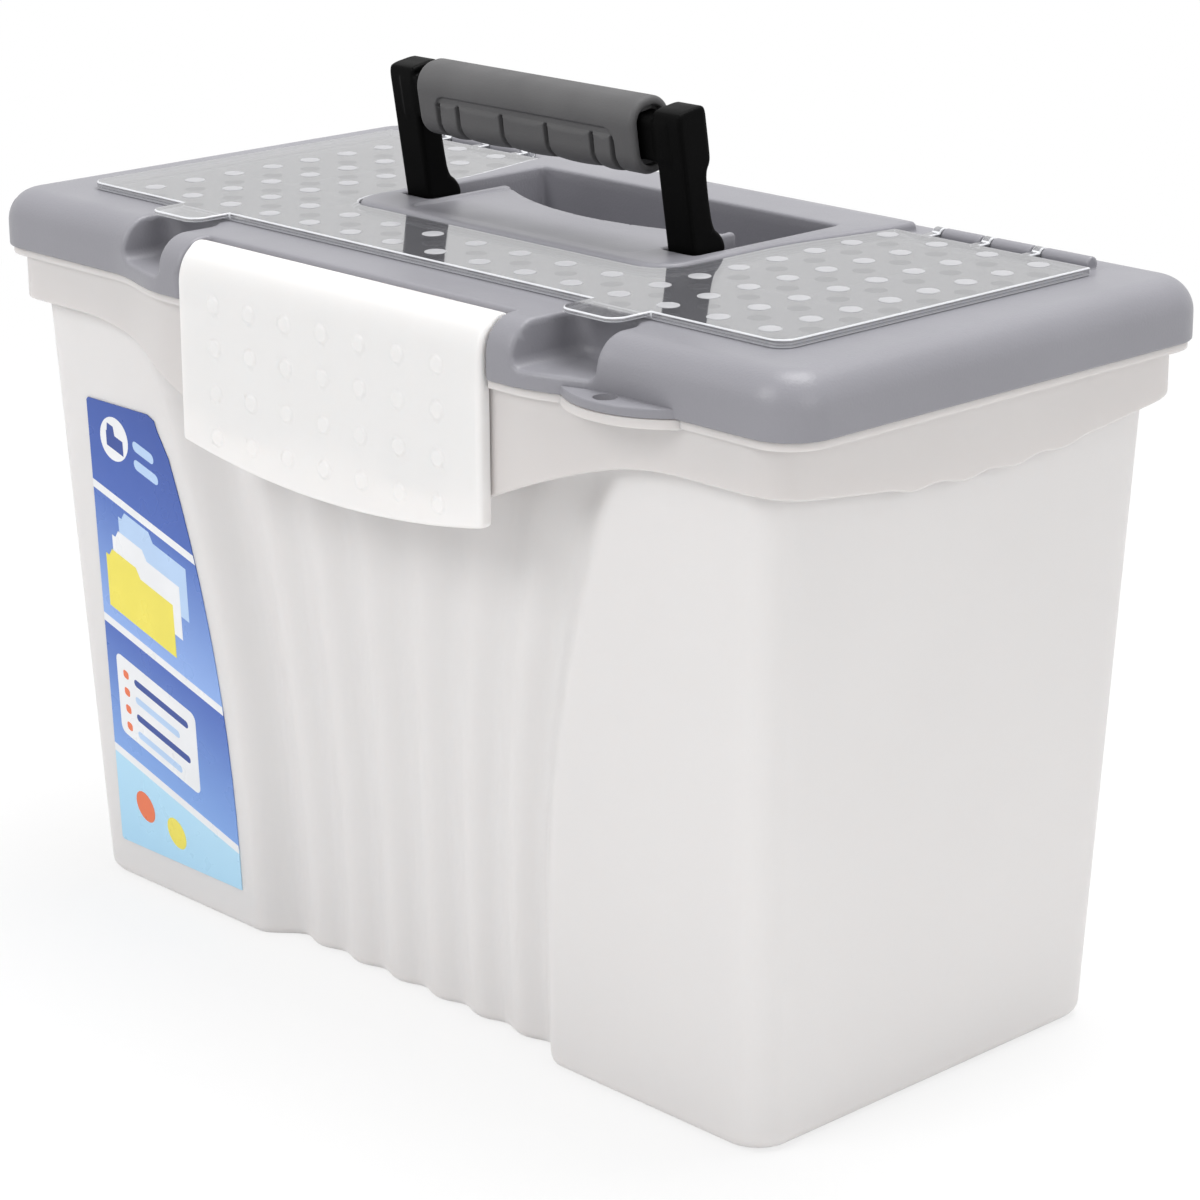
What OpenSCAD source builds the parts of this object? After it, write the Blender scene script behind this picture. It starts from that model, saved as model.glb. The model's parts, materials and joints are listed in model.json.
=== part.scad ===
// Portable file box: a tapered translucent tub with a hinged organiser lid, a wide front
// latch, a clear organiser cover and a folding handle.
// The origin is the middle of the resting face. X runs along the front, Y into the depth, Z up.

/* [Tub] */
// Length of the tub at its rim
top_len = 402; // [380:1:430]
// Depth of the tub at its rim
top_dep = 199; // [190:1:215]
// Height of the rim that the lid seats on
rim_h = 261; // [245:1:290]
// How much shorter the base is than the rim
len_taper = 24; // [12:1:36]
// How much narrower the base is than the rim
dep_taper = 20; // [10:1:28]
// Wall thickness of the tub
tub_wall = 2.4; // [1.8:0.1:3.2]
// Thickness of the floor
floor_t = 2.6; // [2:0.1:4]
// Radius of the upright corners
tub_corner_r = 13; // [12:1:24]
// Radius of the edge round the base
foot_r = 5; // [4:0.5:10]

/* [Front recess] */
// Half width of the fluted recess at the base
recess_base_w = 87.5; // [80:0.5:95]
// Half width of the fluted recess under the collar
recess_top_w = 133; // [115:1:145]
// Depth of the recess
recess_d = 11; // [6:0.5:13]
// Number of flutes across the recess
flute_count = 6; // [4:1:8]
// Height of each flute
flute_h = 3; // [1:0.5:4]

/* [Collar] */
// How far the collar stands out from the ends of the rim
collar_out_x = 7.5; // [5:0.5:9]
// How far the collar stands out from the front and back of the rim
collar_out_y = 4.5; // [3.5:0.5:6]
// Thickness of the hanging collar
collar_t = 2; // [1.6:0.1:2.5]
// Drop of the collar at the corners and along the back
collar_drop = 20; // [14:1:26]
// Drop of the collar behind the latch
collar_drop_mid = 45; // [40:1:50]
// Further drop at the middle of each end, where the fingers go
end_scallop = 9; // [4:0.5:14]
// Thickness of the lip that the lid rests on
lip_t = 3; // [2.5:0.1:4]

/* [Lid] */
// How far the lid stands out from the ends of the rim
lid_out_x = 16.5; // [14:0.5:20]
// How far the lid stands out from the front and back of the rim
lid_out_y = 7.5; // [7:0.5:10]
// Height of the lid above the rim
lid_h = 22; // [20:0.5:28]
// Upright part of the lid's skirt, under the rounding
skirt_h = 7; // [4:0.5:10]
// How far the rounding draws the lid in at the top
lid_round = 16; // [10:0.5:18]
// Radius of the lid's corners in plan
lid_corner_r = 21; // [20:1:32]
// Wall thickness of the lid
lid_wall = 2.2; // [1.8:0.1:3]
// How far the front swells out round the latch
front_bow = 9; // [8:0.5:12]
// Thickness of the tray floors
tray_floor = 2; // [1.5:0.1:3]
// Thickness of the ribs between the trays
rib_t = 1.6; // [1.2:0.1:2.5]
// Width of the border between the lid's edge and the trays, at the ends
border_x = 35; // [32:1:40]
// Height of the deck that carries the handle, above the lid's top
deck_rise = 4; // [2:0.5:6]
// Half width of the deck at its front
deck_half = 86; // [84:0.5:90]

/* [Latch] */
// Width of the latch
latch_w = 166; // [150:1:172]
// Thickness of the latch
latch_t = 2.4; // [2:0.1:3]
// Drop of the latch below the rim at its ends
latch_drop = 52; // [50:1:58]
// Further drop at the middle of the latch
latch_arch = 8; // [4:0.5:12]
// Depth of the latch's side flanges
latch_flange = 6; // [4:0.5:6]
// Number of gussets inside the latch
gusset_count = 4; // [2:1:6]

/* [Organiser cover] */
// Thickness of the clear plate
cover_t = 1.8; // [1.4:0.1:2.2]
// Height of the cover's rim
cover_h = 3; // [2.4:0.1:3.6]
// Width of each finger tab
tab_w = 28; // [22:1:30]
// Distance of each finger tab from the middle
tab_x = 113; // [110:1:118]
// How far the finger tabs reach past the cover's front edge
tab_reach = 17; // [12:0.5:19]

/* [Handle] */
// Distance between the arms, middle to middle
arm_span = 142; // [136:1:144]
// Width of each arm
arm_w = 14; // [10:0.5:15]
// Thickness of each arm
arm_t = 11; // [9:0.5:12]
// Height from the pivot to the top of the grip
handle_h = 60.5; // [55:0.5:62]
// How far the upright handle leans to the front
handle_lean = 9; // [6:0.5:12]
// Length of the rubber grip
grip_len = 116; // [100:1:120]
// Height of the grip's section
grip_h = 28; // [24:0.5:30]
// Depth of the grip's section
grip_d = 20; // [18:0.5:22]

/* [Padlock ears] */
// Distance of the padlock hole from the middle
hasp_x = 138; // [134:1:146]
// Radius of the padlock hole
hasp_hole_r = 4.2; // [3:0.1:4.5]
// How far the ears reach out from the lid's skirt
hasp_reach = 11; // [10:0.5:13]
// Thickness of each ear
hasp_t = 3.4; // [2.5:0.1:4]

/* [File slide] */
// Thickness of the sliding plate
slide_t = 3; // [2:0.1:4]
// Height of the sliding plate
slide_h = 66; // [50:1:140]
// Pitch of the notches along the rails
notch_pitch = 10; // [8:1:14]
// Number of notches along each rail
notch_count = 15; // [9:2:17]
// How far the lock bolts reach into the rails
bolt_reach = 3; // [2:0.1:3.5]

/* [Pins] */
// Radius of the lid's hinge pins
lid_pin_r = 2; // [1.5:0.1:2.5]
// Radius of the latch and handle pins
pin_r = 2; // [1.5:0.1:2.5]
// Radius of the cover's hinge pins
cover_pin_r = 1.2; // [1:0.1:1.4]
// Radial clearance round every pin
pin_fit = 0.05; // [0.03:0.01:0.09]
// Clearance between pieces that move past each other
run_gap = 0.5; // [0.4:0.1:0.8]

/* [Label] */
// Distance of the label's left edge from the middle
label_left = 172; // [165:1:174]
// Height of the label's lower edge
label_low = 17; // [14:1:30]
// Height of the label's upper edge
label_high = 205; // [150:1:207]
// Width of bare wall between the label and the recess
label_gap = 6; // [4:0.5:12]
// Thickness of the label
label_t = 0.4; // [0.3:0.1:0.6]

/* [Hidden] */

// Steps round a quarter of an outline's corner
corner_n = 7;
// Facets round pins and bosses
fine = 48;
// A small overlap that joins the pieces of one solid
eps = 0.2;

// The front swells out between these distances from the middle
bow_flat = latch_w / 2 + 13;
bow_fade = 42;
bow_end = bow_flat + bow_fade;
bow_steps = 6;

// Heights
lid_top = rim_h + lid_h;
deck_top = lid_top + deck_rise;
collar_low = rim_h - collar_drop;
collar_mid = rim_h - collar_drop_mid;

// Half sizes of the outlines
top_hx = top_len / 2;
top_hy = top_dep / 2;
collar_hx = top_hx + collar_out_x;
collar_hy = top_hy + collar_out_y;
lid_hx = top_hx + lid_out_x;
lid_hy = top_hy + lid_out_y;
lip_hx = lid_hx - 1.5;
lip_hy = lid_hy - 1.5;

// Main hinge, behind the rim
hinge_y = lid_hy + 6;
hinge_z = rim_h;
knuckle_r = lid_pin_r + 3;
hinge_x = 130;
knuckle_len = 14;
lid_knuckle_len = 31;
hinge_gap = 0.6;

// Latch and its pocket
latch_hx = latch_w / 2;
pocket_hx = latch_hx + 0.8;
latch_front = -(lid_hy + front_bow + 2.5);
barrel_r = pin_r + 3;
pocket_wall_y = -(lid_hy + front_bow - lid_round + 1.4);
latch_y = pocket_wall_y - run_gap - barrel_r;
latch_z = lid_top - barrel_r - 0.5;
latch_low = rim_h - latch_drop;
collar_front = -(collar_hy + front_bow - 1);
flange_back = min(latch_front + latch_flange, collar_front - 1);
cheek_w = 13;
latch_pin_len = 18;
latch_pin_in = 12;

// Trays and the deck between them
tray_hx = lid_hx - border_x;
tray_front_in = 31;
tray_back_in = 37;
tray_front = -(lid_hy - tray_front_in);
tray_back = lid_hy - tray_back_in;
tray_z = rim_h + tray_floor + 1;
tray_r = 4;
tray_wall = 2;
cross_rib_y = -20;
long_rib_x = (deck_half + 7 + tray_hx) / 2;

// Organiser cover
cover_hx = tray_hx + 5;
cover_front = tray_front - 4;
cover_back = tray_back + 5;
cover_z = lid_top + 0.1;
cover_axis_y = cover_back + 8;
cover_axis_z = cover_z + cover_h / 2 + 0.3;
cover_barrel_r = cover_pin_r + 1.6;
hook_w = 4;
hook_xs = [111, 134.5, 158];
cover_hinge_end = 182;
hook_slot = 5.2;
tooth_w = 10;
tooth_t = 1.4;
tooth_y = cover_front - tooth_t;

// Handle pivot and reach
pivot_y = -4.3;
pivot_z = deck_top - 6;
slot_gap = 1.4;
foot_arm_r = 7;
arm_x = arm_span / 2;
slot_in = arm_x - arm_w / 2 - slot_gap;
slot_out = arm_x + arm_w / 2 + slot_gap;
slot_front = pivot_y - foot_arm_r - run_gap;
well_back = pivot_y + handle_h + 6;
well_z = rim_h + tray_floor + 2;
fold_front = pivot_y + handle_h - grip_h - 2;
scoop_front = 12;
scoop_half = slot_in - 6;
scoop_depth = fold_front - scoop_front;
scoop_r = (scoop_half * scoop_half + scoop_depth * scoop_depth) / (2 * scoop_depth);
handle_pin_in = 5;
grip_mid = handle_h - grip_h / 2;
grip_y = pivot_y - grip_mid * sin(handle_lean);
grip_z = pivot_z + grip_mid * cos(handle_lean);

// The cover's front strip swings past the upright handle
grip_r = grip_d / 2 - 1;
grip_reach = norm([grip_y - cover_axis_y, grip_z - cover_axis_z]) + norm([grip_d, grip_h]) / 2
    - (sqrt(2) - 1) * grip_r + 1.2;
strip_back = cover_axis_y - grip_reach;
deck_front = strip_back + 0.8;
deck_r = 14;
deck_flare = 10;
land_drop = 1.2;
deck_back = lid_hy - lid_round - 3;

// File rails and slide
rail_z = collar_low - 5;
rail_h = 4;
rail_w = 6;
rail_hy = 84;
notch_w = 4;
notch_d = bolt_reach + 0.6;
shoe_w = 8;
shoe_len = 26;
slide_y = rail_hy - shoe_len / 2;
bolt_h = 2.6;
bolt_w = 3;
bolt_play = 0.3;
bolt_y = slide_y - slide_t / 2 - bolt_play - bolt_w / 2;
bolt_z = rail_z + 0.7;
bolt_stem = 14;
thumb_h = 14;

// Label plane, which leans with the front wall
wall_lean = atan(dep_taper / 2 / rim_h);

// Colours
milk = [0.93, 0.94, 0.95, 0.75];
grey = [0.63, 0.65, 0.67];
clear = [0.86, 0.90, 0.93, 0.45];
black = [0.05, 0.05, 0.06];
rubber = [0.42, 0.44, 0.47];
steel = [0.72, 0.74, 0.77];

// ---------- outline functions ----------

function ease(t) = t <= 0 ? 0 : t >= 1 ? 1 : t * t * (3 - 2 * t);

function corner_arc(cx, cy, r, a0) = [
    for (i = [0 : corner_n]) [cx + r * cos(a0 + 90 * i / corner_n), cy + r * sin(a0 + 90 * i / corner_n)]
];

// X places of the swollen front, from left to right
bow_right = [for (i = [0 : bow_steps]) bow_flat + (bow_end - bow_flat) * i / bow_steps];
bow_xs = concat([for (i = [bow_steps : -1 : 0]) -bow_right[i]], bow_right);

function bow_share(x) = 1 - ease((abs(x) - bow_flat) / (bow_end - bow_flat));

// Rounded rectangle whose front swells out by bow
function swollen(hx, hy, r, bow) = concat(
    corner_arc(-hx + r, -hy + r, r, 180),
    [for (x = bow_xs) [x, -hy - bow * bow_share(x)]],
    corner_arc(hx - r, -hy + r, r, 270),
    corner_arc(hx - r, hy - r, r, 0),
    corner_arc(-hx + r, hy - r, r, 90)
);

// Half width of the front recess at height z
function recess_w(z) = recess_base_w
    + (recess_top_w - recess_base_w) * pow(max(0, min(1, (z - 20) / (collar_low - 28))), 2.2);

// The recess fades out under the collar, so that the rim is straight
function recess_share(z) = 1 - ease((z - collar_mid - 8) / 22);

// Places across the recess, from -1 to 1, close together at its curved edges
flute_edge = 0.8;
flute_steps = flute_count * 5;
flat_steps = 4;
end_steps = 12;
edge_us = [1, 0.97, 0.94, 0.90, 0.85];
recess_us = concat(
    [for (u = edge_us) -u],
    [for (i = [0 : flute_steps]) flute_edge * (2 * i / flute_steps - 1)],
    [for (i = [len(edge_us) - 1 : -1 : 0]) edge_us[i]]
);

function flute(u) = abs(u) < flute_edge
    ? flute_h * (1 - cos(180 * flute_count * (u / flute_edge + 1))) / 2 : 0;

function recess_in(u) = recess_d * ease((1 - abs(u)) / (1 - flute_edge)) - flute(u);

function foot_in(z) = z >= foot_r ? 0 : foot_r - sqrt(foot_r * foot_r - (foot_r - z) * (foot_r - z));

// Places along the front at one height: flat, recess and flat again, as [x, share of the recess]
function front_places(hx, r, w) = concat(
    [for (i = [1 : flat_steps]) [-(hx - r) + (hx - r - w) * i / (flat_steps + 1), -1]],
    [for (u = recess_us) [u * w, u]],
    [for (i = [flat_steps : -1 : 1]) [hx - r - (hx - r - w) * i / (flat_steps + 1), 1]]
);

// Outline through the four corners, with places along the front and the ends
function closed_ring(hx, hy, r, front) = concat(
    corner_arc(-hx + r, -hy + r, r, 180),
    front,
    corner_arc(hx - r, -hy + r, r, 270),
    [for (i = [1 : end_steps - 1]) [hx, (hy - r) * (2 * i / end_steps - 1)]],
    corner_arc(hx - r, hy - r, r, 0),
    corner_arc(-hx + r, hy - r, r, 90),
    [for (i = [end_steps - 1 : -1 : 1]) [-hx, (hy - r) * (2 * i / end_steps - 1)]]
);

// Outline of the tub's wall at height z, moved in by off
function tub_ring(z, off, foot_z) =
    let (
        hx = top_hx - len_taper / 2 * (1 - z / rim_h) - off - foot_in(foot_z),
        hy = top_hy - dep_taper / 2 * (1 - z / rim_h) - off - foot_in(foot_z),
        r = tub_corner_r - off
    )
    closed_ring(hx, hy, r, [
        for (p = front_places(hx, r, recess_w(z))) [p[0], -hy + recess_share(z) * recess_in(p[1])]
    ]);

// Outline of the rim, whose front swells out by bow
function rim_ring(hx, hy, r, bow) = closed_ring(hx, hy, r, [
    for (p = front_places(hx, r, recess_w(rim_h))) [p[0], -hy - bow * bow_share(p[0])]
]);

// Inner half length of the tub at height z
function inner_hx(z) = top_hx - len_taper / 2 * (1 - z / rim_h) - tub_wall;

function at_height(ring, z) = [for (p = ring) [p[0], p[1], z]];

// Closed solid whose surface runs through rings with the same number of points
module skin(rings) {
    n = len(rings[0]);
    last = len(rings) - 1;
    points = [for (ring = rings) for (p = ring) p];
    sides = [
        for (k = [0 : last - 1]) for (i = [0 : n - 1])
            let (a = k * n + i, b = k * n + (i + 1) % n)
            for (f = [[a, a + n, b + n], [a, b + n, b]]) f
    ];
    caps = [[for (i = [0 : n - 1]) i], [for (i = [n - 1 : -1 : 0]) last * n + i]];
    polyhedron(points, concat(caps, sides));
}

// Extrudes a YZ outline along X from x0 to x1
module along_x(x0, x1) {
    translate([x0, 0, 0]) rotate([90, 0, 90]) linear_extrude(x1 - x0) children();
}

// Extrudes an XZ outline along Y from y0 to y1
module along_y(y0, y1) {
    translate([0, y1, 0]) rotate([90, 0, 0]) linear_extrude(y1 - y0) children();
}

module box(x0, x1, y0, y1, z0, z1) {
    translate([x0, y0, z0]) cube([x1 - x0, y1 - y0, z1 - z0]);
}

module rod(x0, x1, y, z, r) {
    translate([x0, y, z]) rotate([0, 90, 0]) cylinder(h = x1 - x0, r = r, $fn = fine);
}

// Repeats on the left what is drawn on the right
module both_sides() {
    children();
    mirror([1, 0, 0]) children();
}

module rounded(x0, x1, y0, y1, r) {
    polygon(concat(
        corner_arc(x0 + r, y0 + r, r, 180), corner_arc(x1 - r, y0 + r, r, 270),
        corner_arc(x1 - r, y1 - r, r, 0), corner_arc(x0 + r, y1 - r, r, 90)
    ));
}

// ---------- tub ----------

foot_steps = [0, 0.1, 0.3, 0.6, 1];
fade_rises = [8, 15, 22, 30];
wall_zs = [45, 85, 125, 160, 190];
outer_zs = concat(
    [for (k = foot_steps) k * foot_r], wall_zs, [for (a = fade_rises) collar_mid + a],
    [rim_h - lip_t]
);
inner_zs = concat(
    [rim_h], [for (i = [3 : -1 : 0]) collar_mid + fade_rises[i]], [for (i = [4 : -1 : 0]) wall_zs[i]],
    [for (k = [1, 0.6, 0.2, 0]) floor_t + k * foot_r]
);

// Height of the collar's lower edge along the front
function collar_edge(x) = collar_mid
    + (collar_low - collar_mid) * sin(90 * max(0, min(1, (abs(x) - latch_hx + 8) / 90)));

// Height of the collar's lower edge along an end
function end_edge(y) = collar_low - end_scallop * cos(90 * min(1, abs(y) / collar_hy));

function low_edge(p) = p[1] < -collar_hy + collar_t + 0.01 ? collar_edge(p[0]) : end_edge(p[1]);

// Wall, lip, hanging collar and inside of the tub, as one skin
module tub_shell() {
    r = tub_corner_r + 2;
    bow = front_bow - 1;
    inside = rim_ring(collar_hx - collar_t, collar_hy - collar_t, r - collar_t, bow);
    outside = rim_ring(collar_hx, collar_hy, r, bow);
    lip = rim_ring(lip_hx, lip_hy, lid_corner_r - 1.5, front_bow);
    skin(concat(
        [for (z = outer_zs) at_height(tub_ring(z, 0, z), z)],
        [
            at_height(inside, rim_h - lip_t),
            [for (p = inside) [p[0], p[1], low_edge(p)]],
            [for (p = outside) [p[0], p[1], low_edge(p)]],
            at_height(outside, rim_h - lip_t),
            at_height(lip, rim_h - lip_t),
            at_height(lip, rim_h)
        ],
        [for (z = inner_zs) at_height(tub_ring(z, tub_wall, z - floor_t), z)]
    ));
}

// Gap in the lip that lets the latch's flanges pass
module lip_gap() {
    box(-pocket_hx, pocket_hx, latch_front - 5, collar_front - 0.3, rim_h - lip_t - 1, rim_h + 1);
}

// Outline of an ear: the part of a disc that reaches out from the skirt
module ear_outline() {
    half = 27;
    root = 3.6;
    r = (half * half + hasp_reach * hasp_reach) / (2 * hasp_reach);
    intersection() {
        translate([hasp_x, -lid_hy - hasp_reach + r]) circle(r = r, $fn = 96);
        translate([hasp_x - 2 * half, -lid_hy - hasp_reach - 1])
            square([4 * half, hasp_reach + 1 + root]);
    }
}

module hasp_hole() {
    translate([hasp_x, -lid_hy - hasp_reach + hasp_hole_r + 2.2, rim_h - 20])
        cylinder(h = 40, r = hasp_hole_r, $fn = fine);
}

module tub_knuckles() {
    for (side = [-1, 1]) for (end = [-1, 1]) {
        mid = side * hinge_x + end * (lid_knuckle_len + knuckle_len + 2 * hinge_gap) / 2;
        rod(mid - knuckle_len / 2, mid + knuckle_len / 2, hinge_y, hinge_z, knuckle_r);
        box(mid - knuckle_len / 2, mid + knuckle_len / 2, lip_hy - 2, hinge_y,
            hinge_z - knuckle_r, hinge_z - eps);
    }
}

hinge_span = lid_knuckle_len / 2 + knuckle_len + hinge_gap;

module hinge_bores(r) {
    for (side = [-1, 1])
        rod(side * hinge_x - hinge_span - 1, side * hinge_x + hinge_span + 1, hinge_y, hinge_z, r);
}

// Ledges on the end walls that carry the hanging files and the slide
module rails() {
    both_sides() difference() {
        box(inner_hx(rail_z) - rail_w, inner_hx(rail_z) + tub_wall / 2, -rail_hy, rail_hy,
            rail_z, rail_z + rail_h);
        for (i = [0 : notch_count - 1]) {
            y = bolt_y - notch_pitch * i;
            box(inner_hx(rail_z) - rail_w - 1, inner_hx(rail_z) - rail_w + notch_d,
                y - notch_w / 2, y + notch_w / 2, rail_z - 1, rail_z + rail_h + 1);
        }
    }
}

// Low bead that centres the lid, along the ends and the back
module seat_bead() {
    bead_h = 2;
    translate([0, 0, rim_h - eps]) linear_extrude(bead_h + eps) difference() {
        polygon(swollen(lip_hx - 3, lip_hy - 3, lid_corner_r - 4, 0));
        polygon(swollen(lip_hx - 5, lip_hy - 5, lid_corner_r - 6, 0));
        translate([-lid_hx, -lid_hy - 20]) square([2 * lid_hx, lid_hy]);
    }
}

module tub() {
    color(milk) difference() {
        union() {
            difference() {
                tub_shell();
                lip_gap();
            }
            seat_bead();
            rails();
            tub_knuckles();
            translate([0, 0, rim_h - lip_t - 0.5]) linear_extrude(hasp_t) ear_outline();
        }
        hinge_bores(lid_pin_r + pin_fit);
        hasp_hole();
    }
}

// ---------- lid ----------

function lid_ring(inset, off) = swollen(
    lid_hx - inset - off, lid_hy - inset - off, max(4, lid_corner_r - inset * 0.6 - off), front_bow
);

lid_arc = [0, 20, 40, 60, 77, 90];
lid_zs = concat([rim_h], [for (a = lid_arc) rim_h + skirt_h + (lid_h - skirt_h) * sin(a)]);
lid_insets = concat([0], [for (a = lid_arc) lid_round * (1 - cos(a))]);

module lid_solid() {
    skin([for (i = [0 : len(lid_zs) - 1]) at_height(lid_ring(lid_insets[i], 0), lid_zs[i])]);
}

// Outer skin of the lid, open below
module lid_shell() {
    top = len(lid_zs) - 1;
    skin(concat(
        [for (i = [top : -1 : 0]) at_height(
            lid_ring(lid_insets[i], lid_wall), lid_zs[i] - lid_wall * (lid_zs[i] - rim_h) / lid_h
        )],
        [for (i = [0 : top]) at_height(lid_ring(lid_insets[i], 0), lid_zs[i])]
    ));
}

// Half width of the deck at depth y
function deck_w(y) = deck_half + deck_flare * ease((y - pivot_y - 20) / (deck_back - pivot_y - 20));

// Outline of the deck, moved in by off
function deck_outline(off) =
    let (
        ys = [for (i = [0 : 8]) pivot_y + 20 + (deck_back - off - pivot_y - 20) * i / 8],
        w = deck_half - off
    )
    concat(
        corner_arc(-w + deck_r, deck_front + off + deck_r, deck_r, 180),
        corner_arc(w - deck_r, deck_front + off + deck_r, deck_r, 270),
        [for (y = ys) [deck_w(y) - off, y]],
        [for (i = [8 : -1 : 0]) [-deck_w(ys[i]) + off, ys[i]]]
    );

module deck() {
    translate([0, 0, tray_z - tray_floor]) linear_extrude(deck_top - 2.4 - tray_z + tray_floor)
        polygon(deck_outline(0));
    translate([0, 0, deck_top - 3]) linear_extrude(2) polygon(deck_outline(0.5));
    translate([0, 0, deck_top - 2]) linear_extrude(2) polygon(deck_outline(1.6));
}

// Solid block that the trays are cut from
module tray_block() {
    low = tray_z - tray_floor;
    translate([0, 0, low]) linear_extrude(lid_top - eps - low)
        rounded(-tray_hx - tray_wall, tray_hx + tray_wall, tray_front - tray_wall,
            tray_back + tray_wall, tray_r + tray_wall);
}

module tray_pockets() {
    leg_in = deck_half + 7;
    h = lid_top + 1 - tray_z;
    translate([0, 0, tray_z]) linear_extrude(h) {
        rounded(-tray_hx, tray_hx, tray_front, deck_front - tray_wall, tray_r);
        both_sides() {
            rounded(leg_in, tray_hx, tray_front, cross_rib_y - rib_t / 2, tray_r);
            rounded(leg_in + 5, long_rib_x - rib_t / 2, cross_rib_y + rib_t / 2, tray_back, tray_r);
            rounded(long_rib_x + rib_t / 2, tray_hx, cross_rib_y + rib_t / 2, tray_back, tray_r);
        }
    }
}

// Cheeks beside the latch that carry its pins, and the wall behind it
module latch_housing() {
    intersection() {
        lid_solid();
        union() {
            both_sides() box(pocket_hx, pocket_hx + cheek_w, latch_front - 5, pocket_wall_y + 3,
                rim_h, lid_top);
            box(-pocket_hx - 2, pocket_hx + 2, pocket_wall_y, pocket_wall_y + lid_wall, rim_h,
                lid_top);
        }
    }
}

// Slots that the cover's catch teeth drop into
module tooth_slots() {
    both_sides() box(tab_x - tooth_w / 2 - run_gap, tab_x + tooth_w / 2 + run_gap,
        tooth_y - run_gap, tooth_y + tooth_t + run_gap, lid_top - 7, lid_top + 1);
}

module latch_pocket() {
    box(-pocket_hx, pocket_hx, latch_front - 10, pocket_wall_y, rim_h - 5, lid_top + 5);
}

// Finger scoops in the lid's front, under the cover's tabs
module scoop(grow) {
    x0 = tab_x - tab_w / 2 - 2 - grow;
    x1 = tab_x + tab_w / 2 + 2 + grow;
    translate([0, 0, rim_h + 6.5 - grow]) linear_extrude(lid_h)
        rounded(x0, x1, latch_front - 20, cover_front - 4 + grow, 8 + grow);
}

module lid_knuckles() {
    for (side = [-1, 1]) {
        x0 = side * hinge_x - lid_knuckle_len / 2;
        x1 = side * hinge_x + lid_knuckle_len / 2;
        rod(x0, x1, hinge_y, hinge_z, knuckle_r);
        box(x0, x1, lid_hy - lid_wall, hinge_y, hinge_z + 0.6, hinge_z + knuckle_r);
    }
}

// Raised strip and barrels that carry the cover's pins
module cover_barrels() {
    starts = [for (x = hook_xs) x + hook_slot / 2];
    ends = [hook_xs[1] - hook_slot / 2, hook_xs[2] - hook_slot / 2, cover_hinge_end];
    both_sides() for (i = [0 : 2]) {
        rod(starts[i], ends[i], cover_axis_y, cover_axis_z, cover_barrel_r);
        box(starts[i], ends[i], cover_axis_y - 1.6, cover_axis_y + 1.6, lid_top - 4, cover_axis_z);
    }
}

module cover_hook_slots() {
    both_sides() for (x = hook_xs)
        box(x - hook_slot / 2, x + hook_slot / 2, cover_axis_y - cover_barrel_r - run_gap,
            cover_axis_y + cover_barrel_r + run_gap, cover_axis_z - cover_barrel_r - run_gap,
            lid_top + 10);
}

module cover_bores(r) {
    both_sides() rod(hook_xs[0] - hook_slot, cover_hinge_end - 3, cover_axis_y, cover_axis_z, r);
}

// Well that the folded handle lies in, with a curved finger scoop in front of it
module handle_well() {
    translate([0, 0, well_z]) linear_extrude(deck_top) {
        rounded(-slot_out, slot_out, fold_front, well_back, 5);
        intersection() {
            translate([0, scoop_front + scoop_r]) circle(r = scoop_r, $fn = 180);
            translate([-scoop_half, scoop_front]) square([2 * scoop_half, scoop_depth + 1]);
        }
        both_sides() rounded(slot_in, slot_out, slot_front, well_back, 1);
    }
}

// Shallow land between the arms, a little below the deck's rim
module deck_land() {
    translate([0, 0, deck_top - land_drop]) linear_extrude(5)
        rounded(-slot_in + 3, slot_in - 3, deck_front + 9, fold_front + 1, 5);
}

// Hollows under the deck, so that its walls are thin
module deck_underside() {
    low = rim_h - 1;
    box(-slot_in + 10, slot_in - 10, deck_front + 4, scoop_front - 3, low,
        deck_top - land_drop - lid_wall);
}

module lid() {
    color(grey) difference() {
        union() {
            difference() {
                union() {
                    lid_shell();
                    tray_block();
                    latch_housing();
                    intersection() {
                        lid_solid();
                        both_sides() scoop(lid_wall);
                    }
                    deck();
                    lid_knuckles();
                    translate([0, 0, rim_h + 0.1]) linear_extrude(hasp_t) ear_outline();
                }
                tray_pockets();
                latch_pocket();
                both_sides() scoop(0);
                handle_well();
                deck_land();
                deck_underside();
            }
            cover_barrels();
        }
        cover_hook_slots();
        tooth_slots();
        cover_bores(cover_pin_r + pin_fit);
        hinge_bores(lid_pin_r + pin_fit);
        both_sides() rod(pocket_hx - 1, latch_hx - latch_pin_in + latch_pin_len + 0.5, latch_y,
            latch_z, pin_r + pin_fit);
        both_sides() rod(slot_in - handle_pin_in, slot_out + handle_pin_in, pivot_y, pivot_z,
            pin_r + pin_fit);
        hasp_hole();
    }
}

// ---------- latch ----------

// Outer face of the latch in YZ, from its barrel over the top and down the front
function latch_face(off) =
    let (
        ry = latch_y - latch_front - 1,
        rz = 15,
        top = latch_z + barrel_r
    )
    concat(
        [[latch_y, top - off]],
        [for (a = [0 : 15 : 90]) [latch_y - 1 - (ry - off) * sin(a), top - rz + (rz - off) * cos(a)]],
        [[latch_front + off - 0.5, latch_low - latch_arch - 1]]
    );

module latch_plate() {
    outer = latch_face(0);
    inner = latch_face(latch_t);
    along_x(-latch_hx, latch_hx)
        polygon(concat(outer, [for (i = [len(inner) - 1 : -1 : 0]) inner[i]]));
}

// Profile of a side flange, between the plate and flange_back
module flange_profile() {
    polygon(concat(
        latch_face(latch_t / 2),
        [[flange_back, latch_low - latch_arch - 1], [flange_back, rim_h + 3],
            [latch_y - 1, latch_z - barrel_r + 1]]
    ));
}

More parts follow.
